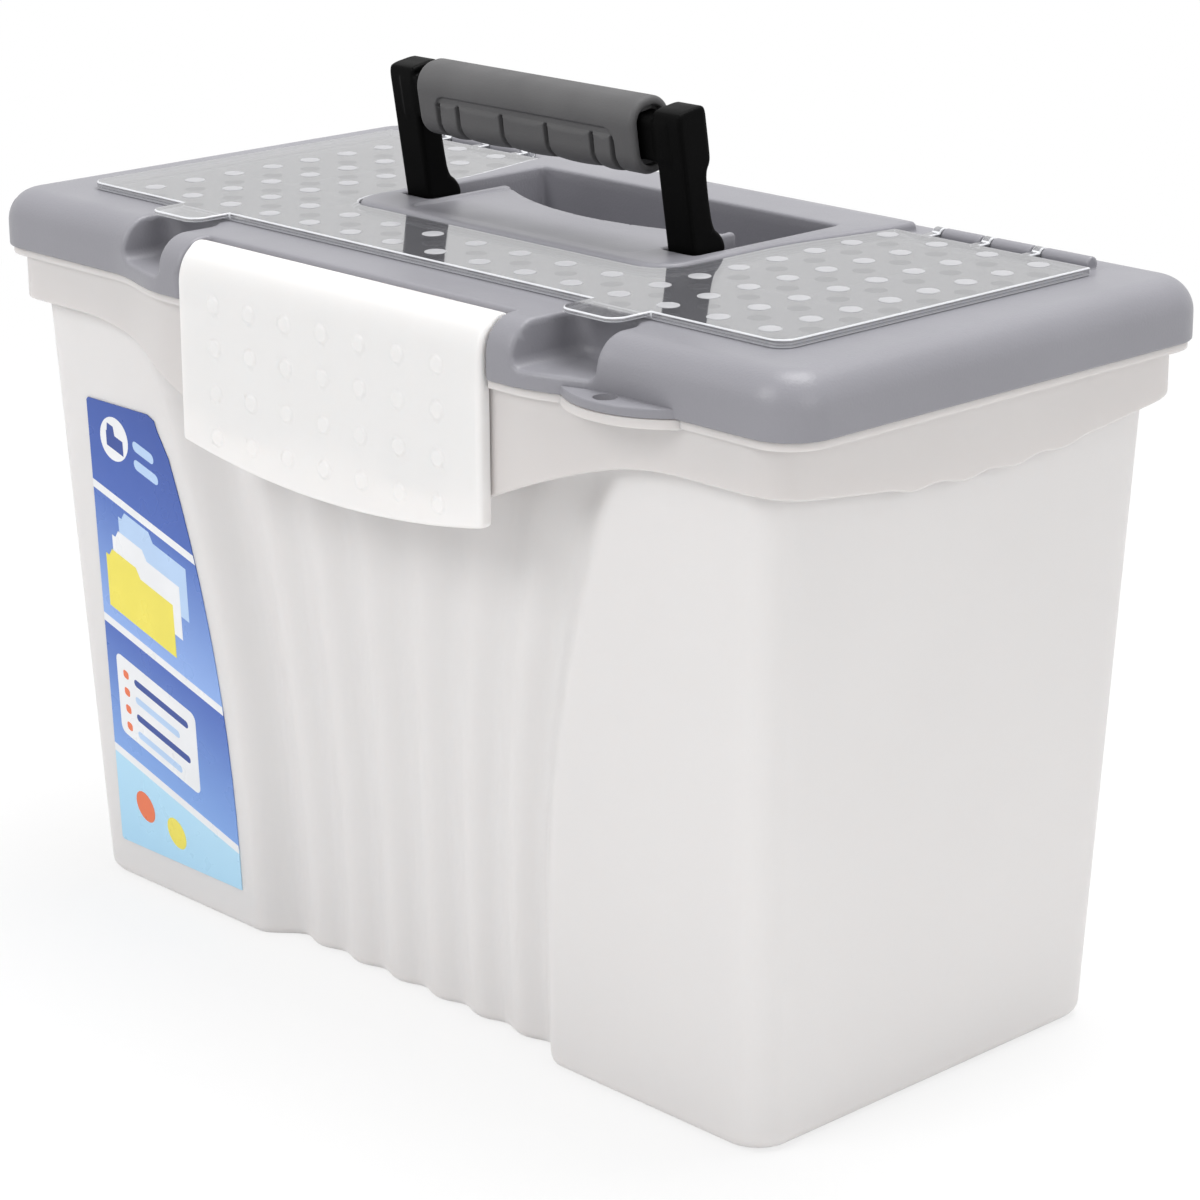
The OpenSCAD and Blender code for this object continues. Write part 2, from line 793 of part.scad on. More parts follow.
module gussets() {
    step = latch_w / (gusset_count + 1);
    thick = 1.4;
    for (i = [1 : gusset_count]) {
        x = -latch_hx + step * i;
        along_x(x - thick / 2, x + thick / 2) polygon(concat(
            latch_face(latch_t / 2),
            [[latch_front + latch_t, latch_low + 6], [latch_front + latch_t + 1.6, rim_h - 2],
                [latch_y - 1, latch_z]]
        ));
    }
}

// Hooks that catch under the collar, from and to these distances from the middle
hook_in = 26;
hook_out = 62;
module latch_hooks() {
    both_sides() box(hook_in, hook_out, latch_front + latch_t / 2, collar_front + collar_t - 0.4,
        collar_mid - 5, collar_mid - 0.5);
}

module latch() {
    low = latch_low - latch_arch - 5;
    arch = [for (i = [-16 : 16]) let (x = (latch_hx + 1) * i / 16)
        [x, latch_low - latch_arch * (1 - x * x / (latch_hx * latch_hx))]];
    color(milk) difference() {
        union() {
            latch_plate();
            both_sides() along_x(latch_hx - latch_t, latch_hx) flange_profile();
            gussets();
            rod(-latch_hx, latch_hx, latch_y, latch_z, barrel_r);
            latch_hooks();
        }
        along_y(latch_front - 5, flange_back + 5)
            polygon(concat(arch, [[latch_hx + 1, low], [-latch_hx - 1, low]]));
        both_sides() rod(latch_hx - latch_pin_in - 0.5, latch_hx + 1, latch_y, latch_z,
            pin_r + pin_fit);
    }
}

module latch_pin() {
    color(steel) rod(latch_hx - latch_pin_in, latch_hx - latch_pin_in + latch_pin_len, latch_y,
        latch_z, pin_r);
}

// ---------- organiser cover ----------

// Inner edge of the cover's right leg, which follows the deck
function leg_inner(off) = [
    for (i = [0 : 8]) let (y = pivot_y + 20 + (cover_back - off - pivot_y - 20) * i / 8)
        [deck_w(y) + 0.8 + off, y]
];

// U-shaped outline, moved in by off
module cover_outline(off) {
    r = 7 - off;
    x1 = cover_hx - off;
    y0 = cover_front + off;
    y1 = cover_back - off;
    w = deck_half + 0.8 + off;
    notch_r = deck_r + 0.8;
    leg = leg_inner(off);
    polygon(concat(
        corner_arc(-x1 + r, y0 + r, r, 180),
        corner_arc(x1 - r, y0 + r, r, 270),
        [[x1, y1]],
        [for (i = [8 : -1 : 0]) leg[i]],
        [for (a = [90 : -15 : 0]) [
            w - notch_r + notch_r * sin(a), strip_back - off + notch_r - notch_r * cos(a)
        ]],
        [for (a = [0 : 15 : 90]) [
            -w + notch_r - notch_r * sin(a), strip_back - off + notch_r - notch_r * cos(a)
        ]],
        [for (i = [0 : 8]) [-leg[i][0], leg[i][1]]],
        [[-x1, y1]]
    ));
}

module cover_tab() {
    x0 = tab_x - tab_w / 2;
    x1 = tab_x + tab_w / 2;
    top = cover_z + cover_h;
    translate([0, 0, top - cover_t]) linear_extrude(cover_t)
        rounded(x0, x1, cover_front - tab_reach, cover_front + 8, 6);
    // catch tooth under the tab
    box(tab_x - tooth_w / 2, tab_x + tooth_w / 2, tooth_y, tooth_y + tooth_t, lid_top - 5,
        top - cover_t / 2);
}

module cover_hooks() {
    for (x = hook_xs) {
        rod(x - hook_w / 2, x + hook_w / 2, cover_axis_y, cover_axis_z, cover_barrel_r);
        box(x - hook_w / 2, x + hook_w / 2, cover_back - 2, cover_axis_y, cover_axis_z - 1.2,
            cover_axis_z + 1.2);
    }
}

module organizer_cover() {
    color(clear) difference() {
        union() {
            translate([0, 0, cover_z]) linear_extrude(cover_h) cover_outline(0);
            both_sides() {
                cover_tab();
                cover_hooks();
            }
        }
        translate([0, 0, cover_z - 1]) linear_extrude(cover_h - cover_t + 1) cover_outline(1.6);
        cover_bores(cover_pin_r + pin_fit);
    }
}

module cover_pin() {
    color(steel) rod(hook_xs[0] - hook_w / 2, cover_hinge_end - 3.5, cover_axis_y, cover_axis_z,
        cover_pin_r);
}

// ---------- handle ----------

// Places the upright handle's own frame: pivot at the origin, grip along X
module leaning() {
    translate([0, pivot_y, pivot_z]) rotate([handle_lean, 0, 0]) children();
}

module arm_profile() {
    half = arm_t / 2;
    top = handle_h - 2.5;
    head = grip_mid - 13;
    circle(r = foot_arm_r, $fn = fine);
    polygon([
        [-half, 0], [half, 0], [foot_arm_r + 4, 3], [foot_arm_r + 4, 7], [foot_arm_r + 2, 10],
        [half, 14], [half, head], [half + 2.6, head + 3], [half + 3, head + 7],
        [half + 3, top - 4], [half, top], [-half + 3, top], [-half, top - 3]
    ]);
}

core_h = 16;
core_d = 11;

module handle_frame() {
    color(black) difference() {
        leaning() union() {
            both_sides() along_x(arm_x - arm_w / 2, arm_x + arm_w / 2) arm_profile();
            along_x(-arm_x, arm_x) translate([-core_d / 2, grip_mid - core_h / 2])
                square([core_d, core_h]);
        }
        both_sides() rod(slot_in - 1, slot_out + 1, pivot_y, pivot_z, pin_r + pin_fit);
    }
}

// Grooves of the finger panel, on the front and under side of the grip
module grip_grooves() {
    panel = grip_len / 2 - 10;
    pitch = panel / 2;
    front = -grip_d / 2;
    depth = 1.4;
    for (x = [-1.5, -0.5, 0.5, 1.5])
        box(x * pitch - 0.8, x * pitch + 0.8, front - 1, front + depth + 1.5,
            grip_mid - grip_h / 2 - 1, grip_mid - 1);
    for (side = [-1, 1])
        box(side * panel - 0.6, side * panel + 0.6, front - 1, front + depth,
            grip_mid - grip_h / 2 - 1, grip_mid + 4);
    box(-panel, panel, front - 1, front + 0.5, grip_mid - 1.3, grip_mid - 0.7);
    box(-panel, panel, front - 1, front + 0.5, grip_mid + 3.7, grip_mid + 4.3);
}

module handle_grip() {
    gap = 0.1;
    color(rubber) leaning() difference() {
        along_x(-grip_len / 2, grip_len / 2) difference() {
            rounded(-grip_d / 2, grip_d / 2, grip_mid - grip_h / 2, grip_mid + grip_h / 2, grip_r);
            translate([-core_d / 2 - gap, grip_mid - core_h / 2 - gap])
                square([core_d + 2 * gap, core_h + 2 * gap]);
        }
        grip_grooves();
    }
}

module handle_pin() {
    color(steel) rod(slot_in - handle_pin_in + 0.5, slot_out + handle_pin_in - 0.5, pivot_y, pivot_z,
        pin_r);
}

module lid_hinge_pin() {
    color(steel) rod(hinge_x - hinge_span, hinge_x + hinge_span, hinge_y, hinge_z, lid_pin_r);
}

// ---------- file slide ----------

rail_edge = inner_hx(rail_z) - rail_w;
shoe_z = rail_z + rail_h + 0.3;

// Plate across the tub that keeps the files upright, hung on the two rails
module file_slide() {
    plate_hx = rail_edge - 1;
    color(milk) difference() {
        union() {
            box(-plate_hx, plate_hx, slide_y - slide_t / 2, slide_y + slide_t / 2,
                shoe_z + 3 - slide_h, shoe_z + 3);
            both_sides() {
                box(plate_hx - 4, inner_hx(rail_z) - 1.5, slide_y - shoe_len / 2,
                    slide_y + shoe_len / 2, shoe_z, shoe_z + 3);
                box(plate_hx - shoe_w, plate_hx, slide_y - shoe_len / 2, slide_y + shoe_len / 2,
                    rail_z - 4, shoe_z + 3);
            }
            box(-plate_hx, plate_hx, slide_y - 5, slide_y + 5, shoe_z + 1, shoe_z + 3);
        }
        both_sides() box(plate_hx - shoe_w - 1, plate_hx + 1, bolt_y - bolt_w / 2 - bolt_play,
            bolt_y + bolt_w / 2 + bolt_play, bolt_z - bolt_play, bolt_z + bolt_h + bolt_play);
    }
}

// Lock bolt with its thumb piece, drawn back from the rail
module slide_lock() {
    plate_hx = rail_edge - 1;
    x0 = plate_hx - shoe_w - bolt_reach - bolt_stem;
    color(grey) union() {
        box(x0, plate_hx + 0.5, bolt_y - bolt_w / 2, bolt_y + bolt_w / 2, bolt_z, bolt_z + bolt_h);
        box(x0, x0 + 9, bolt_y - bolt_w / 2, bolt_y + bolt_w / 2, bolt_z + bolt_h - thumb_h,
            bolt_z + bolt_h);
    }
}

// ---------- label ----------

module label() {
    zs = [for (i = [0 : 12]) label_low + (label_high - label_low) * i / 12];
    r = 6;
    right = [for (z = zs) [-recess_w(z) - label_gap, z]];
    corner_x = -recess_w(label_high) - label_gap - r;
    color([0.15, 0.35, 0.62]) translate([0, -(top_hy - dep_taper / 2) - 0.05, 0])
        rotate([wall_lean, 0, 0]) along_y(-label_t, 0) polygon(concat(
            [for (i = [0 : 11]) right[i]],
            [[corner_x + r, label_high - r], [corner_x + r * 0.7, label_high - r * 0.3],
                [corner_x, label_high]],
            [[-label_left + 1, label_high], [-label_left, label_high - 1],
                [-label_left, label_low + 1], [-label_left + 1, label_low]]
        ));
}

tub();
lid();
latch();
mirror([1, 0, 0]) latch_pin();  // latch_pin_left
latch_pin();  // latch_pin_right
organizer_cover();
mirror([1, 0, 0]) cover_pin();  // cover_pin_left
cover_pin();  // cover_pin_right
handle_frame();
handle_grip();
mirror([1, 0, 0]) handle_pin();  // handle_pin_left
handle_pin();  // handle_pin_right
mirror([1, 0, 0]) lid_hinge_pin();  // lid_hinge_pin_left
lid_hinge_pin();  // lid_hinge_pin_right
file_slide();
mirror([1, 0, 0]) slide_lock();  // slide_lock_left
slide_lock();  // slide_lock_right
label();
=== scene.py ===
"""Looks of the portable file box: skins, dots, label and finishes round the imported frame."""
import json
import math

import bmesh
import bpy
import numpy as np
import openvdb
from mathutils import Matrix, Vector

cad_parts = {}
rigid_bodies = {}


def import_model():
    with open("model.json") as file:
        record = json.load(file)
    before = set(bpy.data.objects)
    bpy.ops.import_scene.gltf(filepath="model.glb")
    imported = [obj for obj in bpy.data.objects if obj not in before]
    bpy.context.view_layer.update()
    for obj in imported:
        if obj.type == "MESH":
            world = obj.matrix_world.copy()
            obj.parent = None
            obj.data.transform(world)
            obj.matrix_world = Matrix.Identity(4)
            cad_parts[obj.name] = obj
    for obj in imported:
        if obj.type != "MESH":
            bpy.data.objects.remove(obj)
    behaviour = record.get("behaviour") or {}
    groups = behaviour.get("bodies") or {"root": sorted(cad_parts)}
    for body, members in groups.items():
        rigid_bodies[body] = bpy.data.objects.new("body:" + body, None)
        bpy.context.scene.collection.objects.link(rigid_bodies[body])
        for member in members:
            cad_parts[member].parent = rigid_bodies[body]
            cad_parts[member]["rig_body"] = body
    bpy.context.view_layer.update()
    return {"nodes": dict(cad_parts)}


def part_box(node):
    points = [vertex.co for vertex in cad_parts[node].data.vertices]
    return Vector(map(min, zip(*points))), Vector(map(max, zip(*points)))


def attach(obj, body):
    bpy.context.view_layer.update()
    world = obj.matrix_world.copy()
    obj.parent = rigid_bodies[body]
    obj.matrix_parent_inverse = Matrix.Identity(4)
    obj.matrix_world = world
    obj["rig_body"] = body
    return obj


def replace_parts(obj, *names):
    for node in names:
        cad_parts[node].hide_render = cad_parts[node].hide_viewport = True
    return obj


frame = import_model()
NODES = frame["nodes"]
MM = 0.001


# ---- sizes, in millimetres ----

def cad(node):
    """Lowest and highest corner of a CAD node, in millimetres."""
    low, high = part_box(node)
    return low / MM, high / MM


RIM_H = 261.0
LID_HX = cad("lid")[1].x
LID_HY = 107.0
TOP_HX = LID_HX - 16.5
TOP_HY = LID_HY - 7.5
TAPER_X = 12.0
TAPER_Y = 10.0
WALL = 2.4
FLOOR_T = 2.6
CORNER_R = 13.0
LID_CORNER_R = 18.0
FOOT_R = 5.0
COLLAR_HX = TOP_HX + 7.5
COLLAR_HY = TOP_HY + 4.5
COLLAR_T = 2.0
LIP_GAP_Y = -COLLAR_HY - 8.3
COLLAR_LOW = RIM_H - 20.0
COLLAR_MID = RIM_H - 45.0
LIP_T = 3.0
LIP_HX = LID_HX - 1.5
LIP_HY = LID_HY - 1.5
LIP_R = LID_CORNER_R - 1.5
LATCH_HX = cad("latch")[1].x
BOW = 9.0
BOW_FLAT = LATCH_HX + 13
BOW_END = BOW_FLAT + 42
RECESS_BASE_W = 87.5
RECESS_TOP_W = 133.0
RECESS_D = 11.0
RECESS_STRAIGHT, RECESS_POWER = 20, 2.2
RECESS_FADE_UP, RECESS_FADE_H = 8, 22
FLUTES = 6
FLUTE_H = 3.0
FLUTE_EDGE = 0.8
END_SCALLOP = 9.0
COLLAR_R = CORNER_R + 2
COLLAR_BOW = BOW - 1
COLLAR_RISE_IN, COLLAR_RISE_W = 8, 90
WAVE_END, WAVE_FADE, WAVE_H, WAVE_LEN = 62, 12, 1.6, 26


# ---- small helpers ----

def ease(t):
    t = max(0.0, min(1.0, t))
    return t * t * (3 - 2 * t)


def spread(low, high, count):
    """count + 1 evenly spaced values from low to high."""
    return [low + (high - low) * i / count for i in range(count + 1)]


def arc(cx, cy, r, start, steps):
    """Quarter circle of points, anticlockwise from the angle start, in degrees."""
    angles = [math.radians(start + 90 * i / steps) for i in range(steps + 1)]
    return [(cx + r * math.cos(a), cy + r * math.sin(a)) for a in angles]


def smooth_by_angle(mesh, degrees):
    """Smooth shading, with the edges sharper than the angle left sharp."""
    work = bmesh.new()
    work.from_mesh(mesh)
    limit = math.radians(degrees)
    for face in work.faces:
        face.smooth = True
    for edge in work.edges:
        edge.smooth = len(edge.link_faces) == 2 and edge.calc_face_angle(0) < limit
    work.to_mesh(mesh)
    work.free()


def placed(name, data):
    obj = bpy.data.objects.new(name, data)
    bpy.context.scene.collection.objects.link(obj)
    return obj


def piece(name, mesh, material, body):
    """A new object that rides on a body."""
    obj = placed(name, mesh)
    mesh.materials.clear()
    mesh.materials.append(material)
    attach(obj, body)
    return obj


def mesh_of(name, points, faces, angle=35):
    """Mesh from points in millimetres and faces, smooth where it bends less than the angle."""
    mesh = bpy.data.meshes.new(name)
    mesh.from_pydata([Vector(p) * MM for p in points], [], faces)
    mesh.validate()
    smooth_by_angle(mesh, angle)
    return mesh


def ring_faces(first, count, n):
    """Faces between count rings of n points each, which follow each other from first."""
    return [
        (a + i, a + (i + 1) % n, a + (i + 1) % n + n, a + i + n)
        for a in range(first, first + (count - 1) * n, n) for i in range(n)
    ]


def skin_mesh(name, rings, angle):
    """Closed mesh whose surface runs through rings with the same number of points."""
    n = len(rings[0])
    points = [p for ring in rings for p in ring]
    faces = ring_faces(0, len(rings), n)
    last = (len(rings) - 1) * n
    faces.append(tuple(range(n - 1, -1, -1)))
    faces.append(tuple(range(last, last + n)))
    return mesh_of(name, points, faces, angle)


def round_edges(obj, width, limit=40, clamp=True):
    """Bevel along the edges sharper than the limit, with face-weighted normals."""
    bevel = obj.modifiers.new("round", "BEVEL")
    bevel.width = width * MM
    bevel.segments = 2
    bevel.limit_method = "ANGLE"
    bevel.angle_limit = math.radians(limit)
    bevel.use_clamp_overlap = clamp
    weight = obj.modifiers.new("weight", "WEIGHTED_NORMAL")
    weight.keep_sharp = True


def rounded_copy(node, material, width, limit=40):
    """A copy of a CAD node with its flat faces whole and its edges rounded."""
    source = NODES[node]
    work = bmesh.new()
    work.from_mesh(source.data)
    bmesh.ops.remove_doubles(work, verts=work.verts, dist=1e-6)
    bmesh.ops.dissolve_limit(
        work, angle_limit=math.radians(1.0), verts=work.verts, edges=work.edges
    )
    mesh = bpy.data.meshes.new(node + "_skin")
    work.to_mesh(mesh)
    work.free()
    smooth_by_angle(mesh, 35)
    obj = piece(node + "_skin", mesh, material, source["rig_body"])
    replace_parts(obj, node)
    round_edges(obj, width, limit, clamp=False)
    return obj


# ---- materials ----

def material(name, color, roughness, **sockets):
    """Principled material; further sockets are named by their words joined with underscores."""
    mat = bpy.data.materials.new(name)
    mat.use_nodes = True
    shader = mat.node_tree.nodes["Principled BSDF"]
    shader.inputs["Base Color"].default_value = (*color, 1)
    shader.inputs["Roughness"].default_value = roughness
    for key, value in sockets.items():
        shader.inputs[key.replace("_", " ")].default_value = value
    return mat


def add_node(tree, kind, **inputs):
    """New shader node; an input, named as its socket, takes a number or another's output."""
    new = tree.nodes.new("ShaderNode" + kind)
    for key, value in inputs.items():
        socket = new.inputs[key.replace("_", " ")]
        if isinstance(value, bpy.types.NodeSocket):
            tree.links.new(value, socket)
        else:
            socket.default_value = value
    return new


def noise(tree, scale, detail):
    """Noise in object space."""
    place = add_node(tree, "TexCoord").outputs["Object"]
    return add_node(tree, "TexNoise", Vector=place, Scale=scale, Detail=detail).outputs["Fac"]


def add_bump(mat, scale, distance, strength, detail=3.0):
    """Fine moulded grain, with its depth in millimetres."""
    tree = mat.node_tree
    height = noise(tree, scale, detail)
    bump = add_node(tree, "Bump", Height=height, Distance=distance * MM, Strength=strength)
    tree.links.new(bump.outputs["Normal"], tree.nodes["Principled BSDF"].inputs["Normal"])


def add_mottle(mat, socket, scale, low, high, detail=2.0):
    """Slow variation of a colour or a value over the surface."""
    tree = mat.node_tree
    ramp = add_node(tree, "ValToRGB", Fac=noise(tree, scale, detail))
    ramp.color_ramp.elements[0].position = 0.35
    ramp.color_ramp.elements[1].position = 0.65
    for element, value in zip(ramp.color_ramp.elements, (low, high)):
        element.color = (*value, 1) if isinstance(value, tuple) else (value, value, value, 1)
    tree.links.new(ramp.outputs["Color"], tree.nodes["Principled BSDF"].inputs[socket])


def plastic(name, color, roughness, gloss, bump=None, tint=None, **sockets):
    """Material whose gloss varies, and if given its grain and colour too."""
    mat = material(name, color, roughness, **sockets)
    if tint:
        add_mottle(mat, "Base Color", *tint)
    add_mottle(mat, "Roughness", *gloss)
    if bump:
        add_bump(mat, *bump)
    return mat


def milky_plastic(name, color, subsurface, gloss=(0.36, 0.46)):
    """Satin white polypropylene that light passes a little way into."""
    low, high = (tuple(c * k for c in color) for k in (0.975, 1.01))
    return plastic(
        name, color, 0.4, (9, *gloss), (900, 0.03, 0.5), (5, low, high),
        Subsurface_Weight=subsurface, Subsurface_Scale=0.008,
        Subsurface_Radius=(1.0, 0.9, 0.85), IOR=1.49, Specular_IOR_Level=0.4,
    )


MILK = milky_plastic("tub_plastic", (0.77, 0.742, 0.732), 0.4)
# the same plastic made darker for the collar, the lip and the padlock ear: painted shade
SHADED_MILK = milky_plastic("collar_painted_shade", (0.625, 0.598, 0.588), 0.4)
LATCH_MILK = milky_plastic("latch_plastic", (0.86, 0.835, 0.82), 0.5, (0.3, 0.33))
SLIDE_MILK = milky_plastic("slide_plastic", (0.80, 0.775, 0.765), 0.3)
LID = plastic(
    "lid_plastic", (0.256, 0.253, 0.278), 0.42, (30, 0.38, 0.46), (1100, 0.12, 0.9, 4),
    (14, (0.249, 0.246, 0.271), (0.263, 0.26, 0.286)), IOR=1.5,
)
BLACK = plastic(
    "handle_plastic", (0.002, 0.002, 0.002), 0.45, (40, 0.36, 0.5), (1800, 0.05, 0.6), IOR=1.45,
    Specular_IOR_Level=0.05,
)
RUBBER = plastic(
    "grip_rubber", (0.085, 0.084, 0.086), 0.6, (60, 0.54, 0.66), (1600, 0.12, 0.8, 4),
    (25, (0.079, 0.078, 0.08), (0.091, 0.09, 0.092)), IOR=1.5,
)
# clear sheet with a slight haze that shows what lies under it and mirrors the room
CLEAR = plastic(
    "cover_plastic", (0.25, 0.25, 0.27), 0.06, (20, 0.04, 0.09), (60, 0.02, 0.3), IOR=2.2,
    Alpha=0.6, Coat_Weight=1.0, Coat_IOR=1.8, Coat_Roughness=0.04,
)
# its rounded edges, made pale: a painted highlight where light gathers
RIM_HIGHLIGHT = plastic("cover_rim_highlight", (0.8, 0.81, 0.84), 0.25, (40, 0.2, 0.32), IOR=1.5, Alpha=0.85)
DOTS = plastic(
    "dot_plastic", (0.5, 0.5, 0.52), 0.4, (200, 0.34, 0.48), (1500, 0.03, 0.6), IOR=1.5,
    Alpha=0.85,
)
STEEL = plastic("pin_steel", (0.55, 0.56, 0.58), 0.28, (120, 0.22, 0.34), Metallic=1.0)


# ---- tub ----

CORNER_STEPS = 14
FLUTE_STEPS = 14
FLAT_STEPS = 10
END_STEPS = 66
FINE_Z = 205
EDGE_US = [1, 0.985, 0.97, 0.95, 0.93, 0.91, 0.885, 0.86, 0.83]


def bow_share(x):
    return 1 - ease((abs(x) - BOW_FLAT) / (BOW_END - BOW_FLAT))


def recess_w(z):
    share = max(0.0, min(1.0, (z - RECESS_STRAIGHT) / (COLLAR_LOW - 28)))
    return RECESS_BASE_W + (RECESS_TOP_W - RECESS_BASE_W) * share ** RECESS_POWER


def recess_share(z):
    """How much of the recess's depth there is at a height: it fades behind the collar."""
    return 1 - ease((z - COLLAR_MID - RECESS_FADE_UP) / RECESS_FADE_H)


LIP_GAP_HX = 83.8
GAP_U = LIP_GAP_HX / RECESS_TOP_W
GAP_STEP = 0.0005
RECESS_US = sorted(
    [-u for u in EDGE_US]
    + spread(-FLUTE_EDGE, FLUTE_EDGE, FLUTES * FLUTE_STEPS)
    + EDGE_US
    + [-GAP_U - GAP_STEP, -GAP_U, GAP_U, GAP_U + GAP_STEP]
)


def flute(u):
    """Rise of the flutes at u, which runs from -1 to 1 across the recess."""
    if abs(u) >= FLUTE_EDGE:
        return 0.0
    turn = math.pi * FLUTES * (u / FLUTE_EDGE + 1)
    return FLUTE_H * (1 - math.cos(turn)) / 2


def recess_in(u):
    return RECESS_D * ease((1 - abs(u)) / (1 - FLUTE_EDGE)) - flute(u)


def foot_in(z):
    if z >= FOOT_R:
        return 0.0
    return FOOT_R - math.sqrt(FOOT_R ** 2 - (FOOT_R - z) ** 2)


def front_places(hx, r, w):
    """Places (x, u) along the front, the same number for every ring."""
    flat = [(hx - r) - (hx - r - w) * i / (FLAT_STEPS + 1) for i in range(1, FLAT_STEPS + 1)]
    return (
        [(-x, -1) for x in flat]
        + [(u * w, u) for u in RECESS_US]
        + [(x, 1) for x in flat[::-1]]
    )


def closed_ring(hx, hy, r, front):
    end = spread(-(hy - r), hy - r, END_STEPS)[1:-1]
    return (
        arc(-hx + r, -hy + r, r, 180, CORNER_STEPS) + front
        + arc(hx - r, -hy + r, r, 270, CORNER_STEPS) + [(hx, y) for y in end]
        + arc(hx - r, hy - r, r, 0, CORNER_STEPS)
        + arc(-hx + r, hy - r, r, 90, CORNER_STEPS) + [(-hx, y) for y in end[::-1]]
    )


def wall_ring(z, off, foot_z):
    """Outline of the wall at a height, off inside its outer face."""
    hx = TOP_HX - TAPER_X * (1 - z / RIM_H) - off - foot_in(foot_z)
    hy = TOP_HY - TAPER_Y * (1 - z / RIM_H) - off - foot_in(foot_z)
    r = CORNER_R - off
    share = recess_share(z)
    front = [(x, -hy + share * recess_in(u)) for x, u in front_places(hx, r, recess_w(z))]
    return [(x, y, z) for x, y in closed_ring(hx, hy, r, front)]


def rim_ring(hx, hy, r, bow, height):
    """Outline of the rim at a height, which is a number or a function of the place."""
    front = []
    for x, u in front_places(hx, r, RECESS_TOP_W):
        y = -hy - bow * bow_share(x)
        # the lip is left out behind the latch
        front.append((x, max(y, LIP_GAP_Y) if abs(u) <= GAP_U else y))
    level = height if callable(height) else (lambda x, y: height)
    return [(x, y, level(x, y)) for x, y in closed_ring(hx, hy, r, front)]


def collar_ring(inset, height):
    """Outline of the collar, inset from its outer face."""
    return rim_ring(
        COLLAR_HX - inset, COLLAR_HY - inset, COLLAR_R - inset, COLLAR_BOW, height
    )


def collar_edge(x):
    share = max(0.0, min(1.0, (abs(x) - LATCH_HX + COLLAR_RISE_IN) / COLLAR_RISE_W))
    return COLLAR_MID + (COLLAR_LOW - COLLAR_MID) * math.sin(math.pi / 2 * share)


def end_edge(y):
    """Height of the collar's lower edge along an end, a shallow arch with small waves."""
    low = END_SCALLOP * math.cos(math.pi / 2 * min(1.0, abs(y) / COLLAR_HY))
    fade = ease((WAVE_END - abs(y)) / WAVE_FADE)
    return COLLAR_LOW - low - fade * WAVE_H * (1 - math.cos(2 * math.pi * y / WAVE_LEN)) / 2


def low_edge(x, y):
    return collar_edge(x) if y < -COLLAR_HY + COLLAR_T + 0.01 else end_edge(y)


def tub_levels():
    foot = [k * FOOT_R for k in (0, 0.035, 0.085, 0.16, 0.26, 0.39, 0.54, 0.74, 1)]
    return foot + spread(FOOT_R, FINE_Z, 24)[1:] + spread(FINE_Z, RIM_H - LIP_T, 14)[1:]


def inner_levels():
    foot = [FLOOR_T + k * FOOT_R for k in (1, 0.64, 0.4, 0.21, 0.085, 0)]
    wall = spread(RIM_H - LIP_T, FINE_Z, 8) + spread(FINE_Z, FOOT_R + FLOOR_T, 14)[1:-1]
    return [RIM_H] + wall + foot


def make_tub():
    """Wall, lip, hanging collar and inside, as one fine skin."""
    top = RIM_H - LIP_T
    half = COLLAR_T / 2
    rings = [wall_ring(z, 0, z) for z in tub_levels()]
    first = len(rings) + 1
    rings.append(collar_ring(COLLAR_T, top))
    # the collar's lower edge is half round
    for turn in (0, 30, 60, 90, 120, 150, 180):
        out = half * (1 - math.cos(math.radians(turn)))
        up = half * (1 - math.sin(math.radians(turn)))
        rings.append(collar_ring(COLLAR_T - out, lambda x, y, up=up: low_edge(x, y) + up))
    for inset, z in ((0, top - 0.8), (-0.3, top - 0.2), (-0.8, top)):
        rings.append(collar_ring(inset, z))
    for inset, z in (
        (0.4, top), (0.1, top + 0.1), (0, top + 0.4), (0, RIM_H - 0.4), (0.1, RIM_H - 0.1),
        (0.4, RIM_H),
    ):
        rings.append(rim_ring(LIP_HX - inset, LIP_HY - inset, LIP_R - inset, BOW, z))
    last = len(rings) - 1
    rings += [wall_ring(z, WALL, z - FLOOR_T) for z in inner_levels()]
    mesh = skin_mesh("tub_skin", rings, 40)
    obj = piece("tub_skin", mesh, MILK, "tub_body")
    # the collar's faces and the lip take the darker copy, which is painted shade
    mesh.materials.append(SHADED_MILK)
    n = len(rings[0])
    for face in mesh.polygons:
        ring = min(face.vertices) // n
        face.material_index = int(first <= ring < last and len(face.vertices) == 4)
    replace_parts(obj, "tub")


# ---- plain shapes ----

def outward(mesh):
    """Turns the faces of a closed mesh outward."""
    work = bmesh.new()
    work.from_mesh(mesh)
    bmesh.ops.recalc_face_normals(work, faces=work.faces)
    work.to_mesh(mesh)
    work.free()


def prism(name, outline, low, high, material, body, bevel):
    """Upright bar with the outline as its plan, from low to high."""
    area = sum(a[0] * b[1] - b[0] * a[1] for a, b in zip(outline, outline[1:] + outline[:1]))
    ring = outline if area > 0 else outline[::-1]
    n = len(ring)
    points = [(u, v, w) for w in (low, high) for u, v in ring]
    faces = ring_faces(0, 2, n) + [tuple(range(n - 1, -1, -1)), tuple(range(n, 2 * n))]
    mesh = mesh_of(name, points, faces)
    outward(mesh)
    obj = piece(name, mesh, material, body)
    round_edges(obj, bevel)
    return obj


